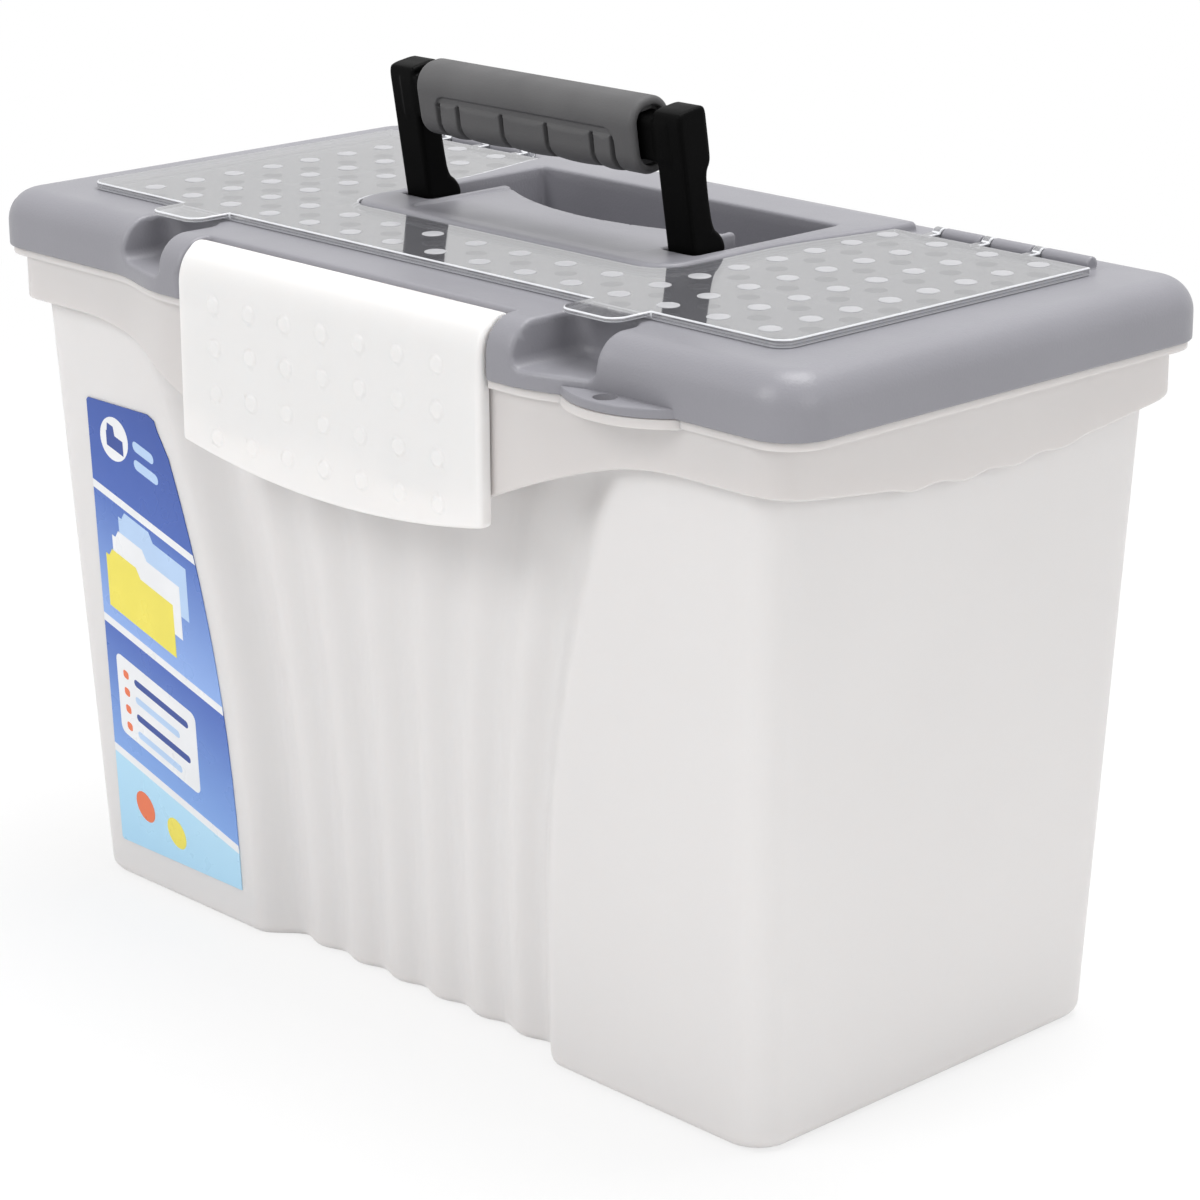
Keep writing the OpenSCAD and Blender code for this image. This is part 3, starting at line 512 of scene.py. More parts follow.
def sleeve(name, outer, inner_r, middle, low, high, place, material, body):
    """Bar with a round bore; outer gives the distance from the bore's middle at an angle."""
    steps = 72
    angles = [2 * math.pi * i / steps for i in range(steps)]

    def ring(radius, w):
        return [
            place(middle[0] + radius(a) * math.cos(a), middle[1] + radius(a) * math.sin(a), w)
            for a in angles
        ]

    bore = lambda a: inner_r
    rings = [ring(bore, low)]
    for end, side, turns in ((low, 1, (0, 30, 60, 90)), (high, -1, (90, 60, 30, 0))):
        for turn in map(math.radians, turns):
            inset = SLEEVE_SOFT * (1 - math.sin(turn))
            level = end + side * SLEEVE_SOFT * (1 - math.cos(turn))
            rings.append(ring(lambda a: outer(a) - inset, level))
    rings.append(ring(bore, high))
    points = [p for r in rings for p in r]
    faces = []
    for k in range(len(rings)):
        after = (k + 1) % len(rings)
        for i in range(steps):
            j = (i + 1) % steps
            faces.append((k * steps + i, k * steps + j, after * steps + j, after * steps + i))
    mesh = mesh_of(name, points, faces, 50)
    outward(mesh)
    return piece(name, mesh, material, body)


def along_x(u, v, w):
    return (w, u, v)


def along_z(u, v, w):
    return (u, v, w)


# ---- tub's fittings ----

HASP_X = 138.0
HASP_R = 4.2
HASP_REACH = 11.0
HASP_Y = -LID_HY - HASP_REACH + HASP_R + 2.2
HASP_T = 3.4
SLEEVE_SOFT = 0.7
EAR_ROOT = 3.6
EAR_HALF = 27.0
HINGE_Y = 113.0
KNUCKLE_R = 5.0
HINGE_X = 130.0
KNUCKLE_LEN = 14.0
LID_KNUCKLE_LEN = 31.0
HINGE_GAP = 0.6
PIN_BORE = 2.05


def ear_outer(a):
    """Distance from the padlock hole's middle to the outline of the ear."""
    r = (EAR_HALF ** 2 + HASP_REACH ** 2) / (2 * HASP_REACH)
    gap = -LID_HY - HASP_REACH + r - HASP_Y
    c, s = math.cos(a), math.sin(a)
    reach = gap * s + math.sqrt((gap * s) ** 2 - gap ** 2 + r ** 2)
    if s > 1e-6:
        reach = min(reach, (EAR_ROOT - LID_HY - HASP_Y) / s)
    return reach


def make_ear(name, low, material, body):
    return sleeve(
        name, ear_outer, HASP_R, (HASP_X, HASP_Y), low, low + HASP_T, along_z, material, body
    )


def tub_knuckle_outer(a):
    """Round, with a root that runs down and forward to the tub's lip."""
    c, s = math.cos(a), math.sin(a)
    if s >= -1e-6 or c >= 0:
        return KNUCKLE_R
    return min((HINGE_Y - LIP_HY + 2) / -c, KNUCKLE_R / -s)


def seat_bead():
    """Bead on the rim that the lid closes on, round the ends and the back."""
    inset, front, height = 4, -20, 2
    r = LIP_R - inset
    hx, hy = LIP_HX - inset, LIP_HY - inset
    path = [(hx, front)] + arc(hx - r, hy - r, r, 0, 16)
    path += arc(-hx + r, hy - r, r, 90, 16) + [(-hx, front)]
    left, right = [], []
    for i, (x, y) in enumerate(path):
        a, b = path[max(i - 1, 0)], path[min(i + 1, len(path) - 1)]
        dx, dy = b[0] - a[0], b[1] - a[1]
        size = math.hypot(dx, dy)
        nx, ny = -dy / size, dx / size
        left.append((x + nx, y + ny))
        right.append((x - nx, y - ny))
    return prism(
        "seat_bead", right + left[::-1], RIM_H - 0.3, RIM_H + height, MILK, "tub_body", 0.6
    )


RAIL_Z = 236.0
RAIL_H = 4.0
RAIL_HY = 84.0
NOTCHES = 15
NOTCH_PITCH = 10.0
NOTCH_Y = 67.7


def make_rails():
    """Notched shelf inside each end wall that the file slide runs on."""
    wall_in = TOP_HX - TAPER_X * (1 - RAIL_Z / RIM_H) - WALL
    rail_in, rail_out = wall_in - 6, wall_in + WALL / 2
    notch_w, notch_d = 4, 3.6
    for name, side in (("rail_left", -1), ("rail_right", 1)):
        comb = [(side * rail_out, -RAIL_HY), (side * rail_in, -RAIL_HY)]
        for i in range(NOTCHES - 1, -1, -1):
            y = NOTCH_Y - NOTCH_PITCH * i
            comb += [
                (side * rail_in, y - notch_w / 2), (side * (rail_in + notch_d), y - notch_w / 2),
                (side * (rail_in + notch_d), y + notch_w / 2), (side * rail_in, y + notch_w / 2),
            ]
        comb += [(side * rail_in, RAIL_HY), (side * rail_out, RAIL_HY)]
        rail = prism(name, comb, RAIL_Z, RAIL_Z + RAIL_H, MILK, "tub_body", 0.4)
        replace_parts(rail, "tub")


def dress_tub():
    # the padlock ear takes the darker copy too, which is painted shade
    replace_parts(make_ear("tub_ear", RIM_H - LIP_T - 0.5, SHADED_MILK, "tub_body"), "tub")
    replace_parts(seat_bead(), "tub")
    offset = (LID_KNUCKLE_LEN + KNUCKLE_LEN + 2 * HINGE_GAP) / 2
    mids = (-HINGE_X - offset, -HINGE_X + offset, HINGE_X - offset, HINGE_X + offset)
    for i, mid in enumerate(mids, 1):
        knuckle = sleeve(
            "tub_knuckle_%d" % i, tub_knuckle_outer, PIN_BORE, (HINGE_Y, RIM_H),
            mid - KNUCKLE_LEN / 2, mid + KNUCKLE_LEN / 2, along_x, MILK, "tub_body"
        )
        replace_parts(knuckle, "tub")


# ---- moulded shapes from distance fields ----

class Grid:
    """Places on a grid, in millimetres, that fields of signed distance are worked out on."""

    def __init__(self, low, high, pitch):
        self.low, self.pitch = np.array(low, float), pitch
        lines = [
            (a + pitch * np.arange(int(math.ceil((b - a) / pitch)) + 1)).astype(np.float32)
            for a, b in zip(low, high)
        ]
        self.shape = tuple(len(line) for line in lines)
        self.x = lines[0][:, None, None]
        self.y = lines[1][None, :, None]
        self.z = lines[2][None, None, :]

    def sample(self, field, points):
        """Trilinear value of the field at points."""
        at = (points - self.low) / self.pitch
        base = np.clip(np.floor(at).astype(int), 0, np.array(self.shape) - 2)
        t = at - base
        value = np.zeros(len(points))
        for i in (0, 1):
            for j in (0, 1):
                for k in (0, 1):
                    share = (
                        (t[:, 0] if i else 1 - t[:, 0]) * (t[:, 1] if j else 1 - t[:, 1])
                        * (t[:, 2] if k else 1 - t[:, 2])
                    )
                    value += share * field[base[:, 0] + i, base[:, 1] + j, base[:, 2] + k]
        return value

    def slope(self, field, points):
        """Unit gradient of the field at points."""
        step = 0.6 * self.pitch
        out = np.zeros((len(points), 3))
        for axis in range(3):
            move = np.zeros(3)
            move[axis] = step
            out[:, axis] = self.sample(field, points + move) - self.sample(field, points - move)
        return out / np.maximum(np.linalg.norm(out, axis=1, keepdims=True), 1e-9)

    def mesh(self, name, field, adaptivity, turn=None, at=(0, 0, 0)):
        """Mesh of the surface where the field is zero, turned and moved into place."""
        field = np.broadcast_to(field, self.shape).astype(np.float32)
        band = 3 * self.pitch
        volume = openvdb.FloatGrid(band)
        volume.copyFromArray(np.clip(field, -band, band), tolerance=0)
        points, tris, quads = volume.convertToPolygons(0.0, adaptivity)
        points = points.astype(float) * self.pitch + self.low
        for _ in range(2):
            ahead = self.slope(field, points)
            points = points - ahead * np.clip(self.sample(field, points), -1, 1)[:, None]
        normals = self.slope(field, points)
        faces = [tuple(int(i) for i in f) for part in (tris, quads) for f in part]
        mesh = bpy.data.meshes.new(name)
        # the faces are turned outward, as the first of them tell
        some = faces[:2000]
        a, b, c = (points[np.array([f[i] for f in some])] for i in range(3))
        side = np.einsum("ij,ij->i", np.cross(b - a, c - a), normals[[f[0] for f in some]])
        if side.sum() < 0:
            faces = [f[::-1] for f in faces]
        if turn is not None:
            spin = np.array(turn)
            points, normals = points @ spin.T, normals @ spin.T
        points = (points + np.array(at)) * MM
        mesh.from_pydata(points, [], faces)
        mesh.shade_smooth()
        mesh.normals_split_custom_set_from_vertices(normals)
        return mesh


def corner(qu, qv, r):
    """Distance to a corner rounded by r, from the distances to its two sides, each plus r."""
    return np.minimum(np.maximum(qu, qv), 0) + np.hypot(np.maximum(qu, 0), np.maximum(qv, 0)) - r


def rect_of(u, v, u0, u1, v0, v1, r):
    """Distance to a rounded rectangle, on any two axes."""
    qu = np.abs(u - (u0 + u1) / 2) - (u1 - u0) / 2 + r
    qv = np.abs(v - (v0 + v1) / 2) - (v1 - v0) / 2 + r
    return corner(qu, qv, r)


def rect(g, x0, x1, y0, y1, r):
    """Distance to a rounded rectangle, on the plan."""
    return rect_of(g.x, g.y, x0, x1, y0, y1, r)


def raised(flat, w, low, high, r=0.0):
    """A flat distance raised from low to high along w, with its rims rounded by r."""
    return corner(flat + r, np.maximum(low - w, w - high) + r, r)


def round_bars(g, y, z, radius, low, high, r=0.0):
    """Two round bars along x, from low to high on either side of the middle."""
    return raised(np.hypot(g.y - y, g.z - z) - radius, np.abs(g.x), low, high, r)


def block(g, x0, x1, y0, y1, z0, z1, r=0.0):
    return raised(rect(g, x0, x1, y0, y1, max(r, 0.01)), g.z, z0, z1, r)


def join(a, b, k=0.0):
    """Both shapes, with a fillet of about k where they meet."""
    if k <= 0:
        return np.minimum(a, b)
    h = np.maximum(k - np.abs(a - b), 0) / k
    return np.minimum(a, b) - h * h * k / 4


def cut(a, b, k=0.0):
    """The first shape without the second, with the new rim rounded by about k."""
    return -join(-a, b, k)


def polygon_of(u, v, points):
    """Distance to a polygon."""
    best = np.full(np.broadcast(u, v).shape, 1e9, np.float32)
    inside = np.zeros(best.shape, bool)
    n = len(points)
    for i in range(n):
        (ax, ay), (bx, by) = points[i], points[(i + 1) % n]
        ex, ey = bx - ax, by - ay
        wx, wy = u - ax, v - ay
        t = np.clip((wx * ex + wy * ey) / max(ex * ex + ey * ey, 1e-12), 0, 1)
        best = np.minimum(best, np.hypot(wx - ex * t, wy - ey * t))
        if ay != by:
            crosses = (ay > v) != (by > v)
            inside ^= crosses & (u < (bx - ax) * (v - ay) / (by - ay) + ax)
    return np.where(inside, -best, best)


def chaikin(points, times):
    """Closed outline with its corners cut again and again, which rounds it."""
    for _ in range(times):
        out = []
        for (ax, ay), (bx, by) in zip(points, points[1:] + points[:1]):
            out.append((ax * 0.75 + bx * 0.25, ay * 0.75 + by * 0.25))
            out.append((ax * 0.25 + bx * 0.75, ay * 0.25 + by * 0.75))
        points = out
    return points


def smooth(t):
    t = np.clip(t, 0, 1)
    return t * t * (3 - 2 * t)


def moulded(name, node, body, mesh, mat):
    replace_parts(piece(name, mesh, mat, body), node)


# ---- lid ----

LID_TOP = RIM_H + 22
DECK_TOP = LID_TOP + 4
LID_WALL = 2.2
LID_ROUND = 12.5
POCKET_HX = LATCH_HX + 0.8
POCKET_Y = -101.4
LATCH_Y, LATCH_Z = -106.9, 277.5
TAB_X = 113.0
TAB_HALF = 14.0
TRAY_Z = 264.0
TRAY_HX = 182.5
TRAY_FRONT, TRAY_BACK = -76.0, 70.0
DECK_FRONT, DECK_BACK = -34.4, 88.0
DECK_HALF, DECK_FLARE, DECK_R = 86.0, 10.0, 14.0
PIVOT_Y, PIVOT_Z = -4.3, 281.0
SLOT_IN, SLOT_OUT, SLOT_FRONT = 62.6, 79.4, -11.8
WELL_Z, FOLD_FRONT, WELL_BACK = 265.0, 26.2, 62.2
SCOOP_FRONT, SCOOP_HALF = 12.0, 56.6
LAND_DROP = 1.2
CROSS_Y, LONG_X, RIB_T = -20.0, 137.75, 1.6
COVER_AXIS_Y, COVER_AXIS_Z = 83.0, 284.9
HOOK_XS = (111.0, 134.5, 158.0)
HOOK_SLOT = 5.2
COVER_BARREL_R = 2.8
COVER_HINGE_END = 182.0
ABOVE, BELOW, AHEAD = LID_TOP + 40, RIM_H - 60, -140
TAB_SCOOP_FRONT, TAB_SCOOP_BACK, TAB_SCOOP_Z = -138.5, -84, RIM_H + 6.5
TOOTH_HALF, TOOTH_FRONT, TOOTH_BACK = 5.5, -81.9, -79.5


def deck_w(y):
    return DECK_HALF + DECK_FLARE * smooth((y - PIVOT_Y - 20) / (DECK_BACK - PIVOT_Y - 20))


def lid_shell(g):
    """Outer skin with the tabs' scoops, the latch's pocket, and a solid block for the trays."""
    x, y, z = g.x, g.y, g.z
    ax = np.abs(x)
    bow = BOW * (1 - smooth((ax - BOW_FLAT) / (BOW_END - BOW_FLAT)))
    front = y + bow * smooth((-y - 30) / 40)
    flat = rect_of(x, front, -LID_HX, LID_HX, -LID_HY, LID_HY, LID_CORNER_R)
    outer = raised(flat, z, BELOW, LID_TOP, LID_ROUND)
    scoop = rect_of(
        ax, y, TAB_X - TAB_HALF - 2, TAB_X + TAB_HALF + 2, TAB_SCOOP_FRONT, TAB_SCOOP_BACK, 8
    )
    outer = cut(outer, raised(scoop, z, TAB_SCOOP_Z, ABOVE, 4), 2.2)
    pocket = block(g, -POCKET_HX, POCKET_HX, AHEAD, POCKET_Y, RIM_H - 90, ABOVE)
    outer = cut(outer, pocket, 1.8)
    trays = rect(g, -TRAY_HX - 2, TRAY_HX + 2, TRAY_FRONT - 2, TRAY_BACK + 2, 6)
    cheeks = rect_of(ax, y, POCKET_HX, POCKET_HX + 12, AHEAD, POCKET_Y + 3, 0.1)
    filled = np.minimum(
        raised(trays, z, TRAY_Z - 2, LID_TOP), raised(cheeks, z, RIM_H - 5, LID_TOP)
    )
    return np.minimum(np.maximum(outer, -(outer + LID_WALL)), np.maximum(filled, outer))


def lid_deck(g):
    """Raised deck round the handle, with rounder corners at its front."""
    middle = (DECK_FRONT + DECK_BACK) / 2
    r = np.where(g.y < middle, DECK_R, 2.0)
    side = np.abs(g.x) - deck_w(g.y) + r
    end = np.abs(g.y - middle) - (DECK_BACK - DECK_FRONT) / 2 + r
    return raised(corner(side, end, r), g.z, TRAY_Z - 2, DECK_TOP, 2.4)


def tray_floors(g):
    """Front tray, the parts beside the deck's front, and the inner and outer trays behind."""
    ax, y = np.abs(g.x), g.y
    front, back = CROSS_Y - RIB_T / 2, CROSS_Y + RIB_T / 2
    return [
        rect(g, -TRAY_HX, TRAY_HX, TRAY_FRONT, DECK_FRONT - 2, 4),
        rect_of(ax, y, DECK_HALF + 7, TRAY_HX, TRAY_FRONT, front, 4),
        rect_of(ax, y, DECK_HALF + 12, LONG_X - RIB_T / 2, back, TRAY_BACK, 4),
        rect_of(ax, y, LONG_X + RIB_T / 2, TRAY_HX, back, TRAY_BACK, 4),
    ]


def with_handle_well(g, body):
    """The well with its finger scoop and the arms' slots, the land in front, and its hollow."""
    x, y, z = g.x, g.y, g.z
    ax = np.abs(x)
    depth = FOLD_FRONT - SCOOP_FRONT
    scoop_r = (SCOOP_HALF ** 2 + depth ** 2) / (2 * depth)
    well = rect(g, -SLOT_OUT, SLOT_OUT, FOLD_FRONT, WELL_BACK, 5)
    arch = np.maximum(np.hypot(x, y - SCOOP_FRONT - scoop_r) - scoop_r, y - FOLD_FRONT - 1)
    slots = rect_of(ax, y, SLOT_IN, SLOT_OUT, SLOT_FRONT, WELL_BACK, 1.5)
    plan = np.minimum(np.minimum(well, np.maximum(arch, ax - SCOOP_HALF)), slots)
    body = cut(body, raised(plan, z, WELL_Z, DECK_TOP + 20, 1.5), 1.6)
    land = rect(g, -SLOT_IN + 3, SLOT_IN - 3, DECK_FRONT + 9, FOLD_FRONT + 1, 5)
    body = cut(body, raised(land, z, DECK_TOP - LAND_DROP, DECK_TOP + 20), 1.4)
    under = block(
        g, -SLOT_IN + 10, SLOT_IN - 10, DECK_FRONT + 4, SCOOP_FRONT - 3, BELOW,
        DECK_TOP - LAND_DROP - LID_WALL, 1
    )
    return cut(body, under)


def with_cover_hinge(g, body):
    """The strip that carries the cover's barrels, with slots for the hooks."""
    ax, y, z = np.abs(g.x), g.y, g.z
    inner = HOOK_XS[0] + 1
    strip = raised(
        rect_of(ax, y, inner, COVER_HINGE_END, COVER_AXIS_Y - 1.6, COVER_AXIS_Y + 1.6, 0.3),
        z, LID_TOP - 4, COVER_AXIS_Z
    )
    barrel = round_bars(
        g, COVER_AXIS_Y, COVER_AXIS_Z, COVER_BARREL_R, inner, COVER_HINGE_END, 0.4
    )
    body = join(body, np.minimum(strip, barrel), 0.6)
    front = COVER_AXIS_Y - COVER_BARREL_R - 0.5
    back = COVER_AXIS_Y + COVER_BARREL_R + 0.5
    for hook in HOOK_XS:
        slot = rect_of(ax, y, hook - HOOK_SLOT / 2, hook + HOOK_SLOT / 2, front, back, 0.3)
        body = cut(body, raised(slot, z, COVER_AXIS_Z - COVER_BARREL_R - 0.5, DECK_TOP + 20), 0.4)
    return body


def lid_field(g):
    ax, y, z = np.abs(g.x), g.y, g.z
    body = join(lid_shell(g), lid_deck(g), 1.5)
    for floor in tray_floors(g):
        body = cut(body, raised(floor, z, TRAY_Z, DECK_TOP + 20, 1.5), 0.6)
    body = with_cover_hinge(g, with_handle_well(g, body))
    # slots for the cover's catch teeth, and bores for the pins of latch and handle
    tooth = rect_of(ax, y, TAB_X - TOOTH_HALF, TAB_X + TOOTH_HALF, TOOTH_FRONT, TOOTH_BACK, 0.2)
    body = cut(body, raised(tooth, z, LID_TOP - 7, LID_TOP + 20))
    body = cut(body, round_bars(g, LATCH_Y, LATCH_Z, PIN_BORE, POCKET_HX - 1, POCKET_HX + 8))
    body = cut(body, round_bars(g, PIVOT_Y, PIVOT_Z, PIN_BORE, SLOT_IN - 6, SLOT_OUT + 6))
    return np.maximum(body, RIM_H + 0.05 - z)


def lid_knuckle_outer(a):
    """Round, with a root that runs up and forward to the lid's wall."""
    c, s = math.cos(a), math.sin(a)
    if s <= 1e-6 or c >= 0:
        return KNUCKLE_R
    return min((HINGE_Y - LID_HY + LID_WALL) / -c, KNUCKLE_R / s)


def make_lid():
    g = Grid((-219.3, -118.3, 259.3), (219.3, 109, 289.3), 0.8)
    moulded("lid_skin", "lid", "lid_body", g.mesh("lid_skin", lid_field(g), 0.06), LID)
    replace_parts(make_ear("lid_ear", RIM_H + 0.1, LID, "lid_body"), "lid")
    for name, mid in (("lid_knuckle_left", -HINGE_X), ("lid_knuckle_right", HINGE_X)):
        knuckle = sleeve(
            name, lid_knuckle_outer, PIN_BORE, (HINGE_Y, RIM_H), mid - LID_KNUCKLE_LEN / 2,
            mid + LID_KNUCKLE_LEN / 2, along_x, LID, "lid_body"
        )
        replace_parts(knuckle, "lid")


# ---- latch ----

LATCH_FRONT = -118.5
LATCH_T = 2.4
LATCH_LOW = 209.0
LATCH_ARCH = 8.0
FLANGE_BACK = -113.0
BARREL_R = 5.0
COLLAR_FRONT = -112.0
GUSSETS = 4
DOT_XS = [20.5 * i for i in range(-3, 4)]
DOT_ZS = (263.0, 247.0, 230.0, 213.5)
DOT_RISE, DOT_R, DOT_FADE = 0.7, 2.6, 1.1
HOOK_IN, HOOK_OUT = 26, 62


def latch_face(off, back):
    """Outline of the latch seen from the side, closed at back."""
    ry = LATCH_Y - LATCH_FRONT - 1
    rz = 15
    top = LATCH_Z + BARREL_R
    points = [(back, top - off), (LATCH_Y, top - off)]
    for a in range(0, 91, 6):
        turn = math.radians(a)
        points.append((
            LATCH_Y - 1 - (ry - off) * math.sin(turn), top - rz + (rz - off) * math.cos(turn)
        ))
    points += [(LATCH_FRONT + off - 0.5, LATCH_LOW - 40), (back, LATCH_LOW - 40)]
    return points


def latch_field(g):
    """Curved flap with raised dots, gussets, barrel and hooks, and an arched lower edge."""
    x, y, z = g.x, g.y, g.z
    ax = np.abs(x)
    dots = np.float32(0)
    for dx in DOT_XS:
        for dz in DOT_ZS:
            dots = dots + (1 - smooth((np.hypot(x - dx, z - dz) - DOT_R) / DOT_FADE))
    face = polygon_of(y, z, latch_face(DOT_RISE, -90))
    outer = raised(face, ax, -60, LATCH_HX, 2.0) - DOT_RISE * dots * (y < -111)
    shell = np.maximum(outer, -(outer + LATCH_T))
    side = latch_face(0, FLANGE_BACK)
    back = [
        (FLANGE_BACK, RIM_H + 3), (LATCH_Y + 1, LATCH_Z - BARREL_R + 1),
        (LATCH_Y + 2, LATCH_Z + 2),
    ]
    limit = polygon_of(y, z, [(LATCH_Y + 2, LATCH_Z + BARREL_R + 1)] + side[1:] + back)
    body = np.maximum(shell, limit - 0.2)
    step = 2 * LATCH_HX / (GUSSETS + 1)
    rib = polygon_of(y, z, latch_face(LATCH_T / 2, LATCH_Y - 1)[1:-2] + [
        (LATCH_FRONT + LATCH_T / 2, LATCH_LOW + 6), (LATCH_FRONT + LATCH_T + 1.6, RIM_H - 2),
        (LATCH_Y - 1, LATCH_Z),
    ])
    for i in range(1, GUSSETS + 1):
        body = join(body, np.maximum(rib, np.abs(x + LATCH_HX - step * i) - 0.7), 0.8)
    body = join(body, round_bars(g, LATCH_Y, LATCH_Z, BARREL_R, -60, LATCH_HX, 0.6), 1.0)
    hooks = rect_of(
        ax, y, HOOK_IN, HOOK_OUT, LATCH_FRONT + LATCH_T / 2, COLLAR_FRONT + COLLAR_T - 0.4, 0.4
    )
    body = join(body, raised(hooks, z, COLLAR_MID - 5, COLLAR_MID - 0.5, 0.3), 0.8)
    low = LATCH_LOW - LATCH_ARCH * (1 - (x / LATCH_HX) ** 2)
    body = cut(body, z - low, 1.6)
    return cut(body, round_bars(g, LATCH_Y, LATCH_Z, PIN_BORE, LATCH_HX - 9, LATCH_HX + 4))


def make_latch():
    g = Grid((-84, -120, 199.5), (84, -101, 284), 0.5)
    mesh = g.mesh("latch_skin", latch_field(g), 0.02)
    moulded("latch_skin", "latch", "latch_body", mesh, LATCH_MILK)


# ---- handle ----

LEAN = math.radians(9)
LEAN_TURN = [
    [1, 0, 0], [0, math.cos(LEAN), -math.sin(LEAN)], [0, math.sin(LEAN), math.cos(LEAN)],
]
PIVOT = (0, PIVOT_Y, PIVOT_Z)
ARM_X, ARM_W, ARM_T = 71.0, 14.0, 11.0
HANDLE_H, GRIP_MID = 60.5, 46.5
ARM_FOOT_R = 7.0
CORE_H, CORE_D = 16.0, 11.0
GRIP_HX, GRIP_H, GRIP_D = 58.0, 28.0, 20.0
PANEL_HX, PANEL_INSET, GROOVE = 48, 0.9, 2.4
PAD_ENDS = (12.0, 36.0, 47.0)
CORE_GAP = 0.15


def handle_field(g):
    """Black frame in the upright handle's own place, pivot at the origin."""
    x, y, z = g.x, g.y, g.z
    ax = np.abs(x)
    half = ARM_T / 2
    top = HANDLE_H - 2.5
    head = GRIP_MID - 13
    outline = [
        (-half, 4), (-half, 20), (-half, 35), (-half, top - 10), (-half, top - 1),
        (-half + 3, top), (-half + 8, top), (half, top), (half + 3, top - 0.5),
        (half + 3, top - 7), (half + 3, head + 9), (half + 2.8, head + 3.5),
        (half + 0.2, head + 0.5), (half, head - 6), (half, 24),
        (half + 0.4, 13), (ARM_FOOT_R + 2, 10), (ARM_FOOT_R + 3.8, 6.5), (ARM_FOOT_R + 3.6, 2.5),
        (half, 0.8), (-half, 0.8),
    ]
    flat = polygon_of(y, z, chaikin(outline, 3))
    flat = join(flat, np.hypot(y, z) - ARM_FOOT_R, 1.5)
    arms = raised(flat, ax, ARM_X - ARM_W / 2, ARM_X + ARM_W / 2, 1.6)
    core = raised(
        rect_of(y, z, -CORE_D / 2, CORE_D / 2, GRIP_MID - CORE_H / 2, GRIP_MID + CORE_H / 2, 2),
        ax, -60, ARM_X
    )
    body = join(arms, core, 1.5)
    return cut(body, round_bars(g, 0, 0, PIN_BORE, SLOT_IN - 2, SLOT_OUT + 2))


def grip_field(g):
    """Rubber sleeve with an inset finger panel on its front."""
    x, y, z = g.x, g.y, g.z
    ax = np.abs(x)
    up = z - GRIP_MID
    section = rect_of(y, up, -GRIP_D / 2, GRIP_D / 2, -GRIP_H / 2, GRIP_H / 2, GRIP_D / 2 - 1)
    outer = raised(section, ax, -60, GRIP_HX, 2.0)
    front = smooth((4 - y) / 4)
    panel = rect_of(ax, up, -60, PANEL_HX, -30, 4, 5)
    inset = PANEL_INSET * smooth(-panel / 0.5) * front
    pads = smooth(-(up - 1.2) / 0.5)
    first, second, third = PAD_ENDS
    gaps = np.float32(0)
    for at, half, fade in ((first, 0.5, 0.7), (second, 0.5, 0.7), (third, 0.7, 0.8)):
        gaps = np.maximum(gaps, 1 - smooth((np.abs(ax - at) - half) / fade))
    # each pad swells round its middle
    middle = np.where(ax < first, 0, np.where(ax < second, 24, 41.5))
    wide = np.where(ax < second, 12.0, 5.5)
    swell = 1 - np.minimum(((ax - middle) / wide) ** 2, 1)
    inside = smooth(-panel / 0.7)
    lift = (0.7 + 0.6 * swell * smooth((-2 - up) / 9)) * pads * (1 - gaps) * inside * front
    groove = GROOVE * gaps * pads * inside * front * smooth((1.5 - up) / 2)
    body = outer + inset - lift + groove
    bore_y, bore_z = CORE_D / 2 + CORE_GAP, CORE_H / 2 + CORE_GAP
    bore = rect_of(y, up, -bore_y, bore_y, -bore_z, bore_z, 2)
    body = cut(body, bore + 0 * x)
    mouth = np.maximum(section + 3.2, GRIP_HX - 3 - ax)
    return cut(body, mouth, 0.8)


def make_handle():
    g = Grid((-79, -9, -8.5), (79, 13, 61), 0.45)
    mesh = g.mesh("handle_frame_skin", handle_field(g), 0.01, LEAN_TURN, PIVOT)
    moulded("handle_frame_skin", "handle_frame", "handle_body", mesh, BLACK)
    g = Grid((-59, -11, GRIP_MID - 15.5), (59, 11, GRIP_MID + 15.5), 0.4)
    mesh = g.mesh("handle_grip_skin", grip_field(g), 0.005, LEAN_TURN, PIVOT)
    moulded("handle_grip_skin", "handle_grip", "handle_body", mesh, RUBBER)


# ---- cover's frosted dots ----

COVER_TOP = 286.1
COVER_HX, COVER_FRONT, COVER_BACK = 187.5, -80.0, 75.0
STRIP_BACK = -35.2
COVER_DOT_XS = [7 + 23.6 * i for i in range(-8, 8)]
COVER_DOT_YS = [-70 + 19.3 * i for i in range(8)]


def cover_inside(x, y):
    """Whether a dot fits on the cover at a place."""
    edge = 6.5
    if abs(x) > COVER_HX - edge or y < COVER_FRONT + edge or y > COVER_BACK - edge:
        return False
    return y < STRIP_BACK - edge + 2 or abs(x) > float(deck_w(np.float32(y))) + edge


def make_dots():
    """Low round dots on the cover, in even rows; rise is the (radius, height) of each ring."""
    points, faces = [], []
    steps, rise = 32, ((4.1, -0.05), (4.05, 0.1), (3.8, 0.22), (3.3, 0.3), (2.0, 0.36))
    for y in COVER_DOT_YS:
        for x in COVER_DOT_XS:
            if not cover_inside(x, y):
                continue
            first = len(points)
            for r, up in rise:
                for k in range(steps):
                    a = 2 * math.pi * k / steps
                    points.append((x + r * math.cos(a), y + r * math.sin(a), COVER_TOP + up))
            points.append((x, y, COVER_TOP + 0.38))
            faces += ring_faces(first, len(rise), steps)
            last = first + (len(rise) - 1) * steps
            for k in range(steps):
                faces.append((last + k, last + (k + 1) % steps, len(points) - 1))
            faces.append(tuple(range(first + steps - 1, first - 1, -1)))
    obj = piece("cover_dots", mesh_of("cover_dots", points, faces, 60), DOTS, "cover_body")


# ---- label ----

